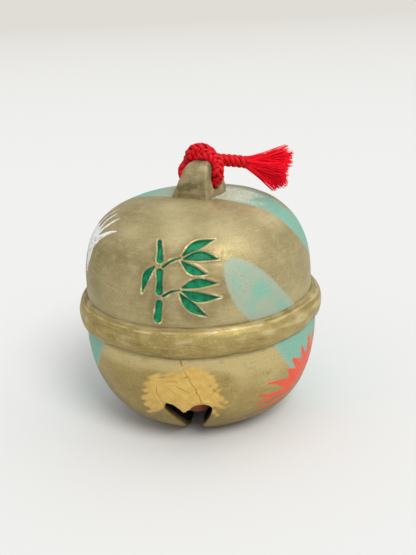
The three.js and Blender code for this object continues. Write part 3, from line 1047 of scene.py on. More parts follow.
@dataclass
class Bowl:
    """The lower half of the hollow body and the broken piece that was glued back into it."""

    spacing: float = 0.55
    steps: int = 400
    inner_spacing: float = 1.6
    unevenness: float = 0.16
    pressed: float = 0.85  # how far the soft clay sank round the foot when it was set down
    degree: float = 0.55  # width of a degree on the bowl's side, in mm
    mended_half_width: float = 13.5  # of the area that is refined round the repair
    mended_heights: Point = (5.5, 32.5)
    mended_back: float = -18.0  # where that area ends, towards the back
    seed: int = 21

    def shell(self, name: str, steps: int, spacing: float, cuts: int) -> Object:
        """Makes the whole bowl before anything is cut out of it.

        Args:
            name: The object's name.
            steps: Number of steps round.
            spacing: Distance of its rows outside the mended area.
            cuts: Number of cuts that refine the mended area.

        Returns:
            The closed shell, refined round the repair.
        """
        curve = BOWL.even(spacing)
        sunk = curve[:, 1] - self.pressed * np.exp(-(((curve[:, 1] - 1) / 1.6) ** 2))
        outer = [(r, z) for r, z in zip(curve[:, 0], sunk) if 0.05 < z < JOINT_HEIGHT]
        foot = float(np.interp(0.0, sunk[::-1], curve[::-1, 0]))
        inner = [(r, z) for r, z in BOWL.even(self.inner_spacing, -WALL) if WALL < z < JOINT_HEIGHT]
        top = [(BOWL.radius_at(np.array(JOINT_HEIGHT)) - WALL, JOINT_HEIGHT)]
        top += [(BOWL.radius_at(np.array(JOINT_HEIGHT)), JOINT_HEIGHT)]
        floor = [(foot * share, 0.0) for share in (1, 0.66, 0.33, 0)]
        inner_floor = [(inner[-1][0] * share, WALL) for share in (0, 0.33, 0.66, 0.97)]
        outline = [*inner_floor, *inner[::-1], *top, *outer, *floor]
        piece = spun(name, [(float(r), float(z)) for r, z in outline], steps)

        def round_repair(centres: np.ndarray) -> np.ndarray:
            """Chooses the faces near the repair."""
            x, y, z = centres.T
            low, high = self.mended_heights
            outside = np.hypot(x, y) > BOWL.radius_at(z) - 1
            beside = np.abs(x) < self.mended_half_width
            return (y < self.mended_back) & beside & (z > low) & (z < high) & outside

        refine(piece, round_repair, cuts)
        return piece

    def relief(self, piece: Object, mouth: Mouth, ring: Patch, inner: bool) -> None:
        """Gives the surface its lumps, cracks, rounded edges and thick paint.

        Args:
            piece: The shell.
            mouth: The openings.
            ring: The outline of the broken piece in the front view.
            inner: Works on the broken piece, or else on the bowl round it.
        """
        places = corners(piece)
        view = places[:, (0, 2)]
        front = places[:, 1] < -10
        outside = np.hypot(places[:, 0], places[:, 1]) > BOWL.radius_at(places[:, 2]) - 1
        outside &= places[:, 2] > 0.02
        uneven = self.unevenness * lumps(places, 26, 11) + 0.03 * lumps(places, 5, 12)
        uneven *= rise(places[:, 2], 1, 6)
        edge = np.where(front, ring.distance(view), 99.0)
        gap = -edge if inner else edge
        # At the upper left the crack is filled with glue
        filled = rise(view[:, 1], 20.5, 22.5) * rise(-view[:, 0], -0.4, 1.2)
        rounded = [(gap - mouth.crack, mouth.crack_edge, 1 - 0.8 * filled)]
        if not inner:
            rounded.append((mouth.away(places), mouth.lip, 1.0))
        for away, radius, open_share in rounded:
            share = np.clip(1 - away / radius, 0, 1)
            uneven -= radius * (1 - np.sqrt(1 - share**2)) * (away > -1.5) * open_share
        uneven += np.where(front, self.repair_relief(view), 0)
        push(piece, np.where(outside, uneven, 0))

    def repair_relief(self, view: np.ndarray) -> np.ndarray:
        """Gives the height of glue, cracks and thick paint in the front view."""
        dent = Stroke(((-4.6, 24.15), (-3.4, 24.25), (-2.5, 24.3)), (0.3, 0.7, 0.5))
        ridges = [
            (((-8.3, 20.6), (-7.2, 18.6), (-6.3, 17.0)), (0.2, 0.5, 0.6)),
            (((-9.2, 19.9), (-8.3, 17.8), (-7.4, 16.2)), (0.1, 0.4, 0.5)),
            (((3.4, 21.6), (3.9, 19.8), (4.3, 18.2)), (0.1, 0.5, 0.6)),
            (((1.8, 17.2), (4.0, 17.8), (6.4, 17.4)), (0.2, 0.6, 0.4)),
        ]
        furrows = [
            (HAIRLINE, (0.16, 0.2, 0.22, 0.3)),
            (((-5.2, 22.4), (-4.0, 21.3), (-3.1, 20.2)), (0.1, 0.22, 0.1)),
            (((-2.6, 23.0), (-1.0, 22.0), (1.0, 21.0)), (0.1, 0.2, 0.1)),
        ]
        thick = rise(-nearest(self.fresh_strokes(), view), -0.5, 0.7)
        strokes = np.column_stack([view @ (0.82, -0.57) * 0.25, view @ (0.57, 0.82), view[:, 0] * 0])
        height = thick * (0.1 + 0.035 * lumps(strokes, 1.5, 14) + 0.03 * lumps(strokes, 3.1, 15))
        height += 0.3 * rise(-nearest(strokes_of(ridges), view), -0.45, 0.2)
        height -= 0.28 * rise(-nearest(strokes_of(furrows), view), -0.12, 0.06)
        height -= 0.4 * rise(-dent.distance(view), -0.4, 0.25)
        return height

    def fresh_strokes(self) -> list[Figure]:
        """Gives the brush strokes of fresh gold over the repair in the front view."""
        ground = Patch(
            ((-12.1, 19.0), (-10.4, 23.2), (-4.8, 26.0), (1.2, 28.2), (4.6, 27.2), (7.6, 22.6), (8.6, 18.6))
            + ((7.2, 15.2), (6.2, 12.4), (-1.0, 12.5), (-6.6, 15.6), (-9.4, 12.6), (-12.1, 13.4))
        )
        left = [
            (((-10.0, 24.7), (-6.8, 26.2), (-2.1, 27.1)), (1.0, 1.3, 1.0)),
            (((-11.2, 22.4), (-7.6, 24.4), (-2.5, 25.9)), (1.6, 1.9, 1.3)),
            (((-11.9, 20.1), (-7.8, 22.3), (-1.8, 24.0)), (1.9, 2.3, 1.6)),
            (((-12.2, 17.3), (-8.1, 20.2), (-3.8, 21.1)), (1.9, 2.3, 1.9)),
            (((-12.2, 14.4), (-9.4, 16.9), (-6.8, 18.6)), (1.9, 2.3, 1.9)),
            (((-12.0, 11.2), (-9.7, 13.5), (-7.5, 15.3)), (1.6, 1.9, 1.3)),
        ]
        middle = [
            (((-1.6, 26.6), (0.4, 24.1), (2.9, 19.9)), (1.9, 2.9, 2.6)),
            (((-4.0, 25.1), (-2.1, 21.2), (-0.2, 14.9)), (2.6, 2.9, 2.6)),
            (((-7.1, 23.5), (-5.1, 20.2), (-2.2, 14.7)), (2.3, 2.6, 2.3)),
            (((0.2, 28.3), (2.8, 26.0), (5.8, 21.2)), (1.6, 2.6, 2.6)),
            (((-0.6, 18.8), (2.1, 17.4), (4.4, 17.2)), (2.3, 2.0, 1.6)),
        ]
        right = [
            (((1.1, 28.8), (4.0, 28.1), (6.6, 25.2)), (1.0, 1.6, 1.3)),
            (((4.5, 27.3), (7.1, 24.5), (8.8, 21.6)), (1.6, 2.3, 1.3)),
            (((3.2, 23.4), (5.7, 19.8), (7.7, 17.4)), (2.3, 2.6, 1.9)),
            (((5.3, 22.6), (8.4, 19.5), (10.9, 16.4)), (1.9, 1.9, 0.6)),
            (((5.5, 18.3), (8.1, 16.1), (10.2, 14.5)), (1.9, 1.9, 0.6)),
            (((5.9, 16.0), (7.1, 13.8), (8.0, 11.8)), (1.3, 1.3, 0.6)),
        ]
        return [ground, *strokes_of(left + middle + right)]

    def paint(self, piece: Object, mouth: Mouth) -> None:
        """Notes the painted fields, the painted light and shade, and the bare inside and mouth walls,
        coloured dark as painted shade.
        """
        places = corners(piece)
        x, y, z = places.T
        radius = np.hypot(x, y)
        below = BOWL.radius_at(z) - radius
        deep = np.where(z > 1.5, below, 0)
        view = places[:, (0, 2)]
        front = y < -8
        fresh = np.where(front, nearest(self.fresh_strokes(), view), 20.0)
        streaks = np.column_stack([view @ (0.86, 0.5) * 0.2, view @ (-0.5, 0.86), x * 0])
        note(piece, "fresh", fresh - 0.1 + 0.4 * lumps(streaks, 1.1, 16))
        turn = np.degrees(np.arctan2(x, -y))
        flank = np.interp(z, (6, 12, 22.4, 27.4, 31.3, 36), (98, 80, 54, 48, 44, 40))
        flank = (flank - np.abs(turn)) * self.degree
        note(piece, "aqua", flank)
        note(piece, "jade", flank + 0.7)
        # Painted light and shade with random wear: paler under the belt and on the right, darker low down
        # and on the lower left
        wear_and_light = 1.3 * rise(z, 24, 30) - 0.6 * rise(z, 17, 6) - 0.2 * rise(-turn, 25, 60) * rise(z, 26, 12)
        wear_and_light += 0.8 * rise(turn, 12, 30) * rise(z, 13, 21) - 0.3
        note(piece, "wear_and_light", wear_and_light + 0.15 * lumps(places, 12, 63))
        fronds = [nearest(self.frond(at), BOWL.unrolled(places, at)) for at in (FROND_AT, OTHER_FROND_AT)]
        rib = BOWL.flat([(67.8, 17.9), (65.8, 16.4), (64.5, 14.5), (62.4, 12.9)], FROND_AT)
        gap = Stroke(rib, (0.2, 0.7, 0.7, 0.4)).distance(BOWL.unrolled(places, FROND_AT))
        note(piece, "vermilion", np.maximum(np.minimum(*fronds), -gap))
        # Painted shade under the belt and along the hairline crack
        belt = BELT_LOW[2] - z
        hair = Stroke(HAIRLINE, (0.1, 0.1, 0.12, 0.2))
        lines = np.where(front, hair.distance(view), OUT_OF_REACH)
        note(piece, "crease_shade", np.minimum(np.maximum(belt, 0), np.maximum(lines, 0) * 3))
        # The knife's cut is coloured dark olive, partly painted shade; deeper in, all is painted almost
        # black as shade
        note(piece, "cut", 1.1 - deep)
        note(piece, "inner_shade", 2.8 - deep)

    def frond(self, middle: float) -> list[Stroke]:
        """Gives a vermilion frond: tapered leaflets on a curved stem.

        Args:
            middle: Direction of the frond, in degrees from the front.

        Returns:
            The strokes, laid flat round that direction.
        """
        stem = [(55.9, 14.4), (60, 15.9), (65.2, 16.9), (68.1, 18.9), (71, 22.5), (74, 28)]
        parts = [(stem, (2.2, 2.6, 2.8, 2.8, 2.4, 0.8))]
        outer = [(56, 13.2), (62, 13.4), (68, 14.6), (73, 18), (76, 22)]
        parts += [(outer, (1.0, 1.8, 2.2, 2.2, 1.0))]
        leaflets = [
            ([(40.7, 19.7), (45.9, 19.1), (53.8, 17.2), (60.8, 16)], (0.6, 1.1, 3.0, 2.6)),
            ([(53.9, 21.4), (58.6, 19.1), (66.4, 15.8)], (0.9, 3.0, 1.9)),
            ([(56.7, 24.3), (61.9, 21.7), (68.5, 18.4)], (0.9, 3.2, 2.6)),
            ([(64.3, 26.8), (66.4, 23.5), (70.5, 20)], (0.6, 2.4, 2.2)),
            ([(71, 29), (72.3, 24.2), (73.2, 20.2)], (0.4, 1.9, 1.9)),
            ([(37.1, 15.9), (43.6, 15), (53.3, 14.6)], (0.9, 1.2, 1.6)),
            ([(34.8, 12.6), (40.6, 13.3), (48.2, 14.2), (55.9, 14.4)], (0.4, 0.9, 1.5, 1.9)),
            ([(38.3, 9.9), (43.7, 10.8), (50.9, 11.8), (57.6, 12.7)], (0.4, 0.9, 1.1, 1.5)),
            ([(43.5, 9.5), (48.2, 10.7), (54.4, 11.7)], (0.4, 0.7, 0.8)),
            ([(76, 24), (80, 27), (83, 30)], (2.4, 1.8, 0.2)),
            ([(75, 20), (82, 23.5), (88, 26)], (2.6, 2.0, 0.3)),
            ([(74, 17), (82, 19), (89, 20)], (2.6, 2.0, 0.3)),
        ]
        return strokes_round(BOWL, middle, middle - FROND_AT, [*parts, *leaflets])

    def build(self) -> tuple[Object, Object]:
        """Builds the bowl and the broken piece.

        Returns:
            The two finished pieces.
        """
        mouth = Mouth()
        outline = mouth.jagged(mouth.fragment(), self.seed)
        ring = Patch(outline)
        reach = BOWL.radius
        middle = -reach / 2 - WALL
        bowl = self.shell("bowl_shell", self.steps, self.spacing, 2)
        self.relief(bowl, mouth, ring, inner=False)
        cut(bowl, extruded("knife", mouth.opening(), 2 * reach + 4), "DIFFERENCE")
        shard = self.shell("glued_shard", 200, 1.1, 5)
        self.relief(shard, mouth, ring, inner=True)
        for piece, operation in ((bowl, "DIFFERENCE"), (shard, "INTERSECT")):
            prism = extruded("prism", outline, reach)
            prism.data.transform(Matrix.Translation((0, middle, 0)))
            cut(piece, prism, operation)
        coats = (AQUA, JADE, VERMILION, FRESH_GOLD, SHADED_CUT_CLAY, INSIDE_SHADE)
        colours = {"base": "#ac965b", "olive": "#846f3c", "pale": "#c6b37c"}
        gold = BrushedGold("brushed_gold_bowl", coats, **colours).material()
        self.paint(bowl, mouth)
        self.paint(shard, mouth)
        settle(bowl, gold, Slot.GOLD, "lower_bowl")
        settle(shard, gold, Slot.MENDED, "mended_shard")
        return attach(bowl, Body.BELL.value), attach(shard, Body.BELL.value)


@dataclass
class Belt:
    """The belt of clay over the joint, rolled on by hand and smoothed with a wet finger."""

    thickness: float = 3.8
    half_height: float = 4.8
    steps: int = 480
    rows: int = 34
    lip: float = 0.2  # height of the fine ridge left by the finger along the upper edge
    bury: float = 0.6  # how far its ends run into the two halves

    def build(self) -> Object:
        """Builds the belt."""
        radius = float(BELT_HIGH[0]) - self.thickness
        outline = []
        for turn in np.linspace(-math.pi / 2, math.pi / 2, self.rows):
            height = JOINT_HEIGHT + self.half_height * math.sin(turn)
            out = self.thickness * math.cos(turn)
            lip = self.lip * math.exp(-(((height - BELT_HIGH[2] + 0.1) / 0.3) ** 2))
            outline.append((radius + out + lip, height))
        back = radius - self.bury
        outline = [(back, outline[0][1]), *outline, (back, outline[-1][1]), (back, outline[0][1])]
        piece = spun("waist_ring", outline, self.steps)
        places = corners(piece)
        outside = np.hypot(places[:, 0], places[:, 1]) > radius + 1
        uneven = 0.22 * lumps(places, 22, 31) + 0.1 * lumps(places, 8, 32) + 0.03 * lumps(places, 3, 33)
        push(piece, np.where(outside, uneven - 0.12, 0))
        self.paint(piece)
        colours = {"base": "#aa955b", "olive": "#89753c", "pale": "#cbbb87"}
        gold = BrushedGold("brushed_gold_belt", (), shade_share=0.45, **colours).material()
        settle(piece, gold, Slot.GOLD, "waist_belt")
        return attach(piece, Body.BELL.value)

    def paint(self, piece: Object) -> None:
        """Notes the painted shade along the edges, two pale lines along the upper edge, and the paler
        places: a painted highlight above the middle, painted light on the right and random wear.
        """
        middle = (BELT_HIGH[2] + BELT_LOW[2]) / 2
        places = corners(piece)
        x, y, z = places.T
        edge = np.minimum(np.abs(z - BELT_HIGH[2]), np.abs(z - BELT_LOW[2]))
        # Painted shade along both edges
        note(piece, "crease_shade", edge * 1.3 + 0.25 * lumps(places, 6, 35))
        top = BELT_HIGH[2] - z
        second = np.abs(top - 0.95 - 0.15 * lumps(places, 16, 36)) - 0.07
        lines = np.minimum(np.abs(top - 0.1) - 0.12, second)
        # Painted highlight above the middle, pale lines along the upper edge, painted light on the right,
        # and random tone
        wear_and_light = 0.5 * np.exp(-(((z - middle - 1.2 - 0.4 * lumps(places, 12, 38)) / 0.8) ** 2))
        level = np.column_stack([x * 0.3, y * 0.3, z])
        wear_and_light += 1.1 * rise(-lines - 0.1 * lumps(places, 5, 34), -0.2, 0.05)
        wear_and_light += 0.4 * rise(x, 20, 34)
        note(piece, "wear_and_light", wear_and_light - 0.2 + 0.2 * lumps(places, 6, 37) + 0.25 * lumps(level, 2.2, 39))


# The lug and the cord: their place on top of the dome, and how far the lug is turned
CROWN_X, CROWN_Y = 1.3, 1.1
CROWN_TURN = math.radians(-20)


def crown_place(point: Place, turned: bool) -> Place:
    """Gives a point of the crown in the bell's frame.

    Args:
        point: Right, back and up from the top of the dome at the lug's place.
        turned: The point turns with the lug.

    Returns:
        The point in the bell's frame, in millimetres.
    """
    x, y, z = point
    if turned:
        c, s = math.cos(CROWN_TURN), math.sin(CROWN_TURN)
        x, y = x * c - y * s, x * s + y * c
    return x + CROWN_X, y + CROWN_Y, z + float(DOME_HIGH[2])


@dataclass
class Lug:
    """The pierced lug: a strap of clay bent to an arch and pressed on the dome."""

    height: float = 10.3
    foot_width: float = 11.8
    top_width: float = 7.0
    corner: float = 9.0
    right_corner: float = 5.0
    lean: float = 1.75
    length: float = 12.6
    arch: float = 2.4
    hole: float = 4.6  # diameter
    hole_height: float = 3.9
    hole_back: float = 0.3  # behind the middle
    sunk: float = 0.4  # how deep the slip sets it into the dome
    steps: int = 22
    voxel: float = 0.2

    def half_width(self, share: np.ndarray | float) -> np.ndarray | float:
        """Gives half the strap's width at a share of the height, before the shoulders round it."""
        return (self.top_width + (self.foot_width - self.top_width) * (1 - share)) / 2

    def front(self) -> list[Point]:
        """Gives the front view: a strap that narrows upwards and has round shoulders."""
        shares = [math.sin(i / self.steps * math.pi / 2) for i in range(self.steps + 1)]

        def half(share: float, corner: float) -> float:
            """Gives half the width at a share of the height, for a squareness of the shoulder."""
            return self.half_width(share) * (1 - share**corner) ** (1 / corner)

        right = [(self.lean * s + half(s, self.right_corner), self.height * s) for s in shares]
        left = [(self.lean * s - half(s, self.corner), self.height * s) for s in reversed(shares[:-1])]
        foot = self.foot_width / 2 + 0.8
        return [(foot, -self.sunk - 2), *right, *left, (-foot, -self.sunk - 2)]

    def side(self) -> list[Point]:
        """Gives the side view: an arch."""
        turns = [i / self.steps * math.pi / 2 for i in range(self.steps + 1)]
        across = [self.length / 2 * max(math.cos(t), 0) ** (2 / self.arch) for t in turns]
        up = [self.height * math.sin(t) ** (2 / self.arch) for t in turns]
        outer = list(zip(across, up))
        low = -self.sunk - 2
        left = [(-y, z) for y, z in reversed(outer[:-1])]
        return [(self.length / 2, low), *outer, *left, (-self.length / 2, low)]

    def soften(self, piece: Object) -> None:
        """Rubs the upright edges round with a wet finger, less near the foot and the top."""
        x, y, z = corners(piece).T
        share = np.clip(z / self.height, 0, 1)
        edge = np.abs(np.abs(x - self.lean * share) - self.half_width(share))
        weights = rise(edge, 2.2, 0.6) * rise(z, 1.0, 4.0) * rise(z, self.height - 0.2, self.height - 2.6)
        group = piece.vertex_groups.new(name="soft")
        for index in np.flatnonzero(weights > 0.01):
            group.add((int(index),), float(weights[index]), "REPLACE")
        modify(piece, "SMOOTH", factor=0.5, iterations=90, vertex_group=group.name)
        piece.vertex_groups.clear()

    def drill(self) -> Object:
        """Makes the stick that pierced the soft clay from side to side."""
        deselect()
        bpy.ops.mesh.primitive_cylinder_add(
            vertices=48,
            radius=self.hole / 2,
            depth=2 * self.foot_width,
            location=(0, self.hole_back, self.hole_height),
            rotation=(0, math.pi / 2, 0),
        )
        return bpy.context.active_object

    def build(self) -> Object:
        """Builds the lug."""
        piece = extruded("crown_lug", self.front(), 2 * self.length)
        cut(piece, extruded("arch", self.side(), 2 * self.foot_width, sideways=True), "INTERSECT")
        cut(piece, self.drill(), "DIFFERENCE")
        modify(piece, "REMESH", mode="VOXEL", voxel_size=self.voxel)
        modify(piece, "SMOOTH", factor=0.5, iterations=6)
        self.soften(piece)
        turn = Matrix.Rotation(CROWN_TURN, 4, "Z")
        piece.data.transform(Matrix.Translation((CROWN_X, CROWN_Y, DOME_HIGH[2])) @ turn)
        places = corners(piece)
        push(piece, 0.2 * lumps(places, 7, 41) + 0.05 * lumps(places, 2.2, 42) + 0.1)
        self.paint(piece)
        colours = {"base": "#9b8d66", "olive": "#6d6744", "pale": "#bfab84"}
        gold = BrushedGold("brushed_gold_lug", (RUBBED,), roughness=0.56, metallic=0.2, **colours)
        settle(piece, gold.material(), Slot.GOLD, "hanging_lug")
        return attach(piece, Body.BELL.value)

    def paint(self, piece: Object) -> None:
        """Notes the painted shade at the foot, the rubbed right edge, the paler right side face as painted
        light, a pale line along the foot and the olive stain on the front.
        """
        places = corners(piece)
        x, y, up = (places - (CROWN_X, CROWN_Y, DOME_HIGH[2])).T
        # Painted shade at the foot
        note(piece, "crease_shade", np.maximum(up - 0.2, 0) * 0.8)
        across = x * math.cos(CROWN_TURN) + y * math.sin(CROWN_TURN)
        back = y * math.cos(CROWN_TURN) - x * math.sin(CROWN_TURN)
        share = np.clip(up / self.height, 0, 1)
        half = self.half_width(share)
        front = -self.length / 2 * (1 - share**self.arch) ** (1 / self.arch)
        beside = np.abs(across - self.lean * share - half + 0.2) - 0.1
        edge = np.maximum(beside, np.abs(back - front) - 0.6)
        edge = edge + 0.35 * np.clip(up - 2.0, 0, 9)
        note(piece, "rubbed", edge + 0.12 + 0.2 * lumps(places, 3, 43))
        stain = np.hypot((across + 0.6) / 2.9, (up - 2.9) / 2.0) + 0.3 * lumps(places, 2.4, 46)
        # Painted light: the right side face is paler. Also a pale line along the foot
        side = 0.4 * rise(across - self.lean * share - half, -0.3, 0.1)
        side += 0.9 * np.exp(-(((up - 0.4) / 0.5) ** 2))
        note(piece, "wear_and_light", side - 1.1 * rise(stain, 1.4, 0.2) * (back < 0) + 0.4 * lumps(places, 3.5, 45))


@dataclass
class Pellet:
    """The loose pellet: a ball of clay rolled between the palms and fired inside the bell."""

    detail: int = 5
    unevenness: float = 0.12

    def build(self) -> Object:
        """Builds the pellet."""
        low, high = node_box("rattle_pellet")
        radius = float(high[0] - low[0]) / 2 - self.unevenness
        deselect()
        middle = tuple(map(float, (low + high) / 2))
        bpy.ops.mesh.primitive_ico_sphere_add(subdivisions=self.detail, radius=radius, location=middle)
        piece = bpy.context.active_object
        piece.name = "clay_pellet"
        piece.data.transform(Matrix.Translation(piece.location))
        piece.location = (0, 0, 0)
        places = corners(piece)
        push(piece, self.unevenness * lumps(places, 9, 51) + 0.03 * lumps(places, 2, 52))
        settle(piece, Earthenware().material(), Slot.CLAY, "rattle_pellet")
        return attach(piece, Body.PELLET.value)


# The cord

# The cord's route, right, back and up from the top of the dome at the lug's place. The loop turns
# with the lug, and the knot and the tail don't.
HIDDEN_END = [(-0.63, 1.9, 10.4), (0.81, 0.3, 11.4), (2.27, -0.8, 11.9), (3.77, -1.3, 11.6)]
HIDDEN_END += [(5.2, -1.6, 10.7), (6.25, -2.1, 9.1)]
LUG_SIDE = (4.9, 0.3, 4.1)  # where the cord leaves the lug's hole
LOOP = [(6.9, -0.7, 6.9), (6.5, -0.1, 5.2), LUG_SIDE, (2.8, 0.3, 3.9), (0, 0.3, 3.9), (-2.6, 0.3, 3.9)]
LOOP += [(-4.2, 0.3, 4.3), (-5.2, 0.4, 5.5)]
KNOT = [(-4.7, 2.9, 7.1), (-3.7, 3.4, 8.3), (-2.8, 2.4, 9.7), (-2.35, 1.3, 11.3), (-1.28, 0.9, 12.82)]
KNOT += [(0.18, 0.8, 13.36), (1.71, 0.9, 13.3), (2.93, 1.5, 12.47), (3.65, 2.9, 11.1), (3.01, 4.8, 9.9)]
KNOT += [(1.03, 5.8, 9.6), (-0.43, 4.8, 10.2), (0.2, 3.2, 10.8), (1.8, 2.5, 10.5), (3.5, 2.6, 10.2)]
KNOT += [(5.1, 3.0, 9.7)]
TAIL = [(7.2, 3.5, 9.3), (9.7, 3.8, 9.0), (12.3, 3.8, 8.7), (14.9, 3.8, 8.3)]


SHADE_SHIFT = 7.3  # how far each yarn's shading is moved along it, in mm, so that no two look alike


def tube_faces(rings: int, sides: int) -> list[tuple[int, ...]]:
    """Gives the faces of a closed tube whose vertices run ring by ring."""
    faces = []
    for ring in range(rings - 1):
        for i in range(sides):
            j = (i + 1) % sides
            low, high = ring * sides, (ring + 1) * sides
            faces.append((low + i, low + j, high + j, high + i))
    faces.append(tuple(reversed(range(sides))))
    last = (rings - 1) * sides
    faces.append(tuple(range(last, last + sides)))
    return faces


def yarn_mesh(name: str, tubes: list[np.ndarray], widths: list[float], inner: list[np.ndarray]) -> Object:
    """Makes one mesh of many yarns.

    Args:
        name: The object's name.
        tubes: For each yarn, its vertices by ring, side and coordinate.
        widths: For each yarn, the length round it.
        inner: For each yarn, the painted shade of each ring's side, from 0 to 1, darkest deep in the cord.

    Returns:
        The object, with a UV map in mm across and along each yarn.
    """
    places: list[np.ndarray] = []
    faces: list[tuple[int, ...]] = []
    across: list[float] = []
    count = 0
    for number, (tube, width) in enumerate(zip(tubes, widths)):
        rings, sides = tube.shape[:2]
        places.append(tube.reshape(-1, 3))
        walked = walked_along(tube.mean(axis=1)) + SHADE_SHIFT * number
        for ring in range(rings - 1):
            for i in range(sides):
                left, right = i / sides * width, (i + 1) / sides * width
                low, high = walked[ring], walked[ring + 1]
                across += [left, low, right, low, right, high, left, high]
        across += [0.0, walked[0]] * sides + [0.0, walked[-1]] * sides
        faces += [tuple(count + i for i in face) for face in tube_faces(rings, sides)]
        count += rings * sides
    mesh = bpy.data.meshes.new(name)
    mesh.from_pydata(np.vstack(places).tolist(), [], faces)
    layer = mesh.uv_layers.new(name="yarn")
    layer.data.foreach_set("uv", np.array(across, np.float32))
    piece = bpy.data.objects.new(name, mesh)
    bpy.context.scene.collection.objects.link(piece)
    note(piece, "inner", np.concatenate([values.ravel() for values in inner]))
    return piece


def carried_frames(line: np.ndarray) -> tuple[np.ndarray, np.ndarray, np.ndarray]:
    """Carries a frame along a line without twisting it.

    Args:
        line: Points, one row each.

    Returns:
        The direction of the line and two directions square to it, for each point.
    """
    ahead = np.gradient(line, axis=0)
    ahead /= np.linalg.norm(ahead, axis=1)[:, None]
    side = np.cross(ahead[0], (0.0, 0.3, 1.0))
    sides = []
    for direction in ahead:
        side = side - (side @ direction) * direction
        side = side / np.linalg.norm(side)
        sides.append(side)
    first = np.array(sides)
    return ahead, first, np.cross(ahead, first)


@dataclass
class BraidedCord:
    """The red cord: eight yarns braided round, through the lug, tied in an overhand knot."""

    diameter: float = 3.6
    pairs: int = 4  # yarns that wind each way
    lay: float = 6.6  # length of one turn of a yarn
    ring_steps: int = 32  # rings in one turn
    sides: int = 10
    weave: float = 0.28  # how far a yarn goes over two and under two of the others
    yarn_width: float = 1.45
    yarn_thickness: float = 1.05
    hinge: Place = (8.2, 4.6, 78.4)  # where the tail starts to bend at the knot
    bend: Place = (0.86 * 3.2, 0.22 * 3.2, 0.46 * 3.2)  # the stretch over which it bends

    def route(self) -> np.ndarray:
        """Gives the cord's centreline in millimetres."""
        points = [crown_place(p, False) for p in HIDDEN_END]
        points += [crown_place(p, True) for p in LOOP]
        points += [crown_place(p, False) for p in [*KNOT, *TAIL]]
        curve = smooth(points, 24)
        walked = walked_along(curve)
        marks = np.arange(0, walked[-1], self.lay / self.ring_steps)
        return np.column_stack([np.interp(marks, walked, curve[:, i]) for i in range(3)])

    def yarn(
        self, line: np.ndarray, first: np.ndarray, second: np.ndarray, way: int, number: int
    ) -> np.ndarray:
        """Winds one yarn round the cord's middle, over and under the others.

        Args:
            line: The cord's centreline.
            first: One direction square to it, for each point.
            second: The other direction square to it.
            way: The side to which the yarn winds, 1 or -1.
            number: Its number among the yarns that wind the same way.

        Returns:
            Its vertices by ring, side and coordinate.
        """
        walked = np.arange(len(line)) * (self.lay / self.ring_steps)
        turn = way * 2 * math.pi * walked / self.lay + 2 * math.pi * number / self.pairs
        crossing = way * 4 * math.pi * walked / self.lay + math.pi * number - math.pi / 4
        far = (self.diameter - self.weave - self.yarn_thickness) / 2 + self.weave * way * np.cos(crossing)
        out = np.cos(turn)[:, None] * first + np.sin(turn)[:, None] * second
        middle = line + far[:, None] * out
        ahead = np.gradient(middle, axis=0)
        ahead /= np.linalg.norm(ahead, axis=1)[:, None]
        up = out - (out * ahead).sum(axis=1)[:, None] * ahead
        up /= np.linalg.norm(up, axis=1)[:, None]
        around = np.arange(self.sides) / self.sides * 2 * math.pi
        wide = np.cos(around)[None, :, None] * np.cross(ahead, up)[:, None] * self.yarn_width / 2
        thick = np.sin(around)[None, :, None] * up[:, None] * self.yarn_thickness / 2
        return middle[:, None] + wide + thick

    def build(self, tassel: Object) -> Object:
        """Builds the cord.

        Args:
            tassel: The frayed end. It is not used.

        Returns:
            The finished piece.
        """
        line = self.route()
        _, first, second = carried_frames(line)
        tubes = [self.yarn(line, first, second, way, i) for way in (1, -1) for i in range(self.pairs)]
        widths = [math.pi * (self.yarn_width + self.yarn_thickness) / 2] * len(tubes)
        depths = [np.linalg.norm(tube - line[:, None], axis=2) for tube in tubes]
        # Painted shade between the yarns: 1 at the core, 0 at the outside
        inner = [np.clip(4.3 - 4.4 * depth / (self.diameter / 2), 0, 1) for depth in depths]
        piece = yarn_mesh("braided_cord", tubes, widths, inner)
        red = DyedRayon("rayon_braid", "#ba000b", "#f40e24", "#2c0002", 0.45, shine=0.18)
        settle(piece, red.material(), Slot.BRAID, "tied_cord", "cord_tail")
        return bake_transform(piece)


@dataclass
class Tassel:
    """The cord's end, frayed to a flattened fan of loose yarn."""

    fibres: int = 950
    clumps: int = 15
    length: float = 12.4
    droop: float = math.radians(13)
    open_angle: float = math.radians(42)  # from the middle of the fan to its edge
    deep_angle: float = math.radians(19)
    fibre: float = 0.24  # thickness, coarser than the real yarn so that single fibres show
    flatness: float = 0.5  # thickness of a fibre's round part, because the filaments lie side by side
    root: float = 1.45  # radius of the cord's end that the fibres start from
    curl: float = 0.3  # how far a fibre strays from its way
    straight: float = 0.35  # share of its length that it goes on straight
    spread: float = 0.72  # share of its length that it goes towards its place in the fan
    thinning: float = 0.45  # share of its thickness that it loses on the way
    rings: int = 8
    sides: int = 6
    seed: int = 7

    def build(self) -> Object:
        """Builds the tassel."""
        dice = np.random.default_rng(self.seed)
        fan = np.column_stack([dice.uniform(-1, 1, self.clumps), dice.uniform(-1, 1, self.clumps)])
        fan[:, 0] = np.linspace(-0.92, 0.92, self.clumps) + dice.normal(0, 0.05, self.clumps)
        reach = dice.uniform(0.9, 1.06, self.clumps)
        along = np.linspace(0, 1, self.rings)
        tubes, widths, inner = [], [], []
        for _ in range(self.fibres):
            clump = dice.integers(self.clumps)
            lift, deep = np.clip(fan[clump] + dice.normal(0, (0.07, 0.16)), -1, 1)
            length = self.length * reach[clump] * dice.uniform(0.84, 1.03)
            line = self.fibre_line(dice, lift, deep, length)
            tubes.append(self.fibre_tube(dice, line))
            widths.append(math.pi * self.fibre)
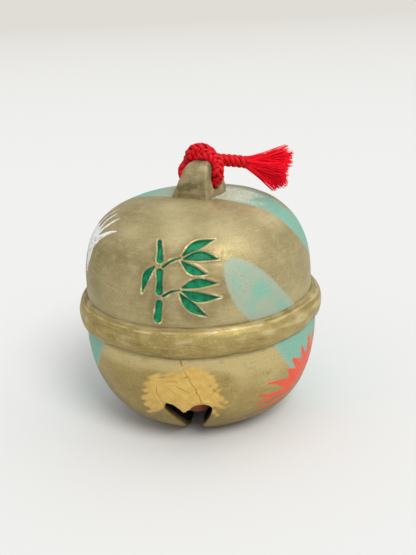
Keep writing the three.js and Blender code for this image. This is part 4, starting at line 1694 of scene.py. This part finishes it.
            # Deeper in colour near the cord, where the fibres shade each other
            shade = dice.uniform(0, 0.16) + 0.2 * np.clip(0.35 - along, 0, 1)
            inner.append(np.repeat(shade[:, None], self.sides, axis=1))
        piece = yarn_mesh("frayed_tassel", tubes, widths, inner)
        red = DyedRayon("rayon_fibre", "#ff0018", "#ff1c38", "#d40010", 0.6)
        settle(piece, red.material(), Slot.FIBRE, "tassel")
        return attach(piece, Body.TAIL.value)

    def fibre_line(self, dice: Dice, lift: float, deep: float, length: float) -> np.ndarray:
        """Draws one fibre, from inside the cord's end to its own.

        Args:
            dice: Gives the chance.
            lift: Its place in the fan from the lower edge, -1, to the upper one, 1.
            deep: Its place across the fan, from the front, -1, to the back, 1.
            length: Its length in millimetres.

        Returns:
            Its points, one row for each ring.
        """
        start = np.array(crown_place(TAIL[-1], False))
        ahead = np.array([math.cos(self.droop), 0.0, -math.sin(self.droop)])
        up = np.array([math.sin(self.droop), 0.0, math.cos(self.droop)])
        back = np.array([0.0, 1.0, 0.0])
        along = np.linspace(0, 1, self.rings)[:, None]
        squeeze = math.sqrt(max(0.0, 1 - min(abs(lift), 1) ** 2))
        tilt, turn = lift * self.open_angle, deep * self.deep_angle * (0.35 + 0.65 * squeeze)
        root, angle = dice.uniform(0, self.root), dice.uniform(0, 2 * math.pi)
        base = start + root * (math.cos(angle) * up * 0.9 + math.sin(angle) * back) - 0.9 * ahead
        base = base + up * lift * 0.5
        goal = ahead * math.cos(tilt) * math.cos(turn) + up * math.sin(tilt) + back * math.sin(turn)
        way = along * ahead * length * self.straight + along**1.35 * goal * length * self.spread
        curl = dice.normal(0, self.curl, (2, 1, 1))
        curl = curl * np.sin(along * dice.uniform(2, 5) + dice.uniform(0, 6))
        return base + way + along * (curl[0] * up + curl[1] * back)

    def fibre_tube(self, dice: Dice, line: np.ndarray) -> np.ndarray:
        """Gives a fibre its thickness: a flat tube that thins towards its end."""
        around = np.arange(self.sides) / self.sides * 2 * math.pi
        along = np.linspace(0, 1, self.rings)
        _, first, second = carried_frames(line)
        thick = self.fibre / 2 * (1 - self.thinning * along) * dice.uniform(0.75, 1.2)
        flat, wide = self.flatness * np.cos(around), 1.45 * np.sin(around)
        roll = dice.normal(0, 0.35)
        depth = flat * math.cos(roll) - wide * math.sin(roll)
        level = flat * math.sin(roll) + wide * math.cos(roll)
        ring = depth[None, :, None] * first[:, None] + level[None, :, None] * second[:, None]
        return line[:, None] + ring * thick[:, None, None]


@dataclass
class Studio:
    """The camera, the soft light and the pale floor, with painted shade on it far behind the bell."""

    azimuth: float = math.radians(8.8)
    elevation: float = math.radians(20.45)
    roll: float = math.radians(2.99)
    distance: float = 249.7
    pan: Point = (2.69, 4.24)
    aim_height: float = 37.7
    focal_length: float = 800.0  # in pixels of the picture
    picture_height: float = 555.0
    sensor: float = 36.0
    floor_size: float = 60.0  # metres
    floor_colour: str = "#e3e3e2"
    # Painted shade: the colour of the floor far behind the bell
    far_floor_shade: str = "#d3d0c9"
    lamp_strength: float = 1.66
    lamp_angle: float = math.radians(26)  # how broad the lamp looks from the bell
    lamp_azimuth: float = math.radians(36)  # to the right of the front
    lamp_elevation: float = math.radians(48)
    lamp_colour: Place = (1.0, 0.99, 0.975)
    bright_side: Place = (0.66, -0.42, 0.62)
    dim_sky: str = "#b9bab9"
    bright_sky: str = "#f6f7f8"
    low_sky: str = "#6b6a68"
    sky_strength: float = 1.03
    sky_turn: Point = (-0.7, 0.9)  # from the dim side to the bright one, as cosines
    floor_turn: Point = (0.3, 2.5)  # from the near colour to the far painted shade, in metres behind the bell
    floor_roughness: float = 0.9
    floor_shine: float = 0.1

    def camera(self) -> None:
        """Makes the camera at the photographed angle."""
        a, e = self.azimuth, self.elevation
        right = Vector((math.cos(a), math.sin(a), 0))
        back = Vector((math.cos(e) * math.sin(a), -math.cos(e) * math.cos(a), math.sin(e)))
        up = back.cross(right)
        place = Vector((0, 0, self.aim_height)) + back * self.distance
        place += right * self.pan[0] + up * self.pan[1]
        c, s = math.cos(self.roll), math.sin(self.roll)
        columns = Matrix((c * right - s * up, s * right + c * up, back)).transposed()
        data = bpy.data.cameras.new("camera")
        data.sensor_width = self.sensor
        data.lens = self.sensor * self.focal_length / self.picture_height
        data.clip_start = 0.01
        data.clip_end = 200
        camera = bpy.data.objects.new("camera", data)
        camera.matrix_world = Matrix.Translation(place * MM) @ columns.to_4x4()
        bpy.context.scene.collection.objects.link(camera)
        bpy.context.scene.camera = camera

    def lamp(self) -> None:
        """Makes a broad soft key light."""
        lamp = bpy.data.lights.new("window", "SUN")
        lamp.energy = self.lamp_strength
        lamp.angle = self.lamp_angle
        lamp.color = self.lamp_colour
        window = bpy.data.objects.new("window", lamp)
        a, e = self.lamp_azimuth, self.lamp_elevation
        towards = Vector((math.sin(a) * math.cos(e), -math.cos(a) * math.cos(e), math.sin(e)))
        window.rotation_mode = "QUATERNION"
        window.rotation_quaternion = towards.to_track_quat("Z", "Y")
        bpy.context.scene.collection.objects.link(window)

    def sky(self) -> None:
        """Makes a dome of pale light that is dimmer on the left and near the horizon."""
        world = bpy.data.worlds.new("daylight")
        world.use_nodes = True
        tree = world.node_tree
        tree.nodes.clear()
        direction = add(tree, "ShaderNodeTexCoord").outputs["Generated"]
        wanted = {"Vector": direction, "Vector_001": self.bright_side}
        facing = add(tree, "ShaderNodeVectorMath", {"operation": "DOT_PRODUCT"}, wanted)
        share = between(tree, facing.outputs["Value"], *self.sky_turn)
        sky = mixed(tree, share, linear(self.dim_sky), linear(self.bright_sky))
        height = add(tree, "ShaderNodeSeparateXYZ", {}, {"Vector": direction}).outputs["Z"]
        sky = mixed(tree, between(tree, height, 0.0, 0.5), linear(self.low_sky), sky)
        wanted = {"Color": sky, "Strength": self.sky_strength}
        background = add(tree, "ShaderNodeBackground", {}, wanted)
        add(tree, "ShaderNodeOutputWorld", {}, {"Surface": background.outputs[0]})
        bpy.context.scene.world = world

    def floor(self) -> None:
        """Makes the floor, coloured darker far behind the bell as painted shade."""
        deselect()
        bpy.ops.mesh.primitive_plane_add(size=self.floor_size, location=(0, 0, 0))
        floor = bpy.context.active_object
        floor.name = "floor"
        paper, tree, shader = new_material("pale_paper")
        place = add(tree, "ShaderNodeTexCoord").outputs["Object"]
        away = add(tree, "ShaderNodeSeparateXYZ", {}, {"Vector": place}).outputs["Y"]
        share = between(tree, away, *self.floor_turn)
        colour = mixed(tree, share, linear(self.floor_colour), linear(self.far_floor_shade))
        feed(tree, shader, {"Base Color": colour, "Roughness": self.floor_roughness})
        feed(tree, shader, {"Specular IOR Level": self.floor_shine})
        floor.data.materials.append(paper)

    def build(self) -> None:
        """Builds the studio."""
        self.camera()
        self.lamp()
        self.sky()
        self.floor()
        bpy.context.scene.view_settings.view_transform = "Standard"


def main() -> None:
    """Builds the studio and the bell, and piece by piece."""
    logging.basicConfig(level=logging.INFO, format="%(message)s")
    Studio().build()
    tassel = Tassel().build()
    BraidedCord().build(tassel)
    Lug().build()
    Pellet().build()
    Belt().build()
    Dome().build()
    Bowl().build()


if __name__ == "__main__":
    main()
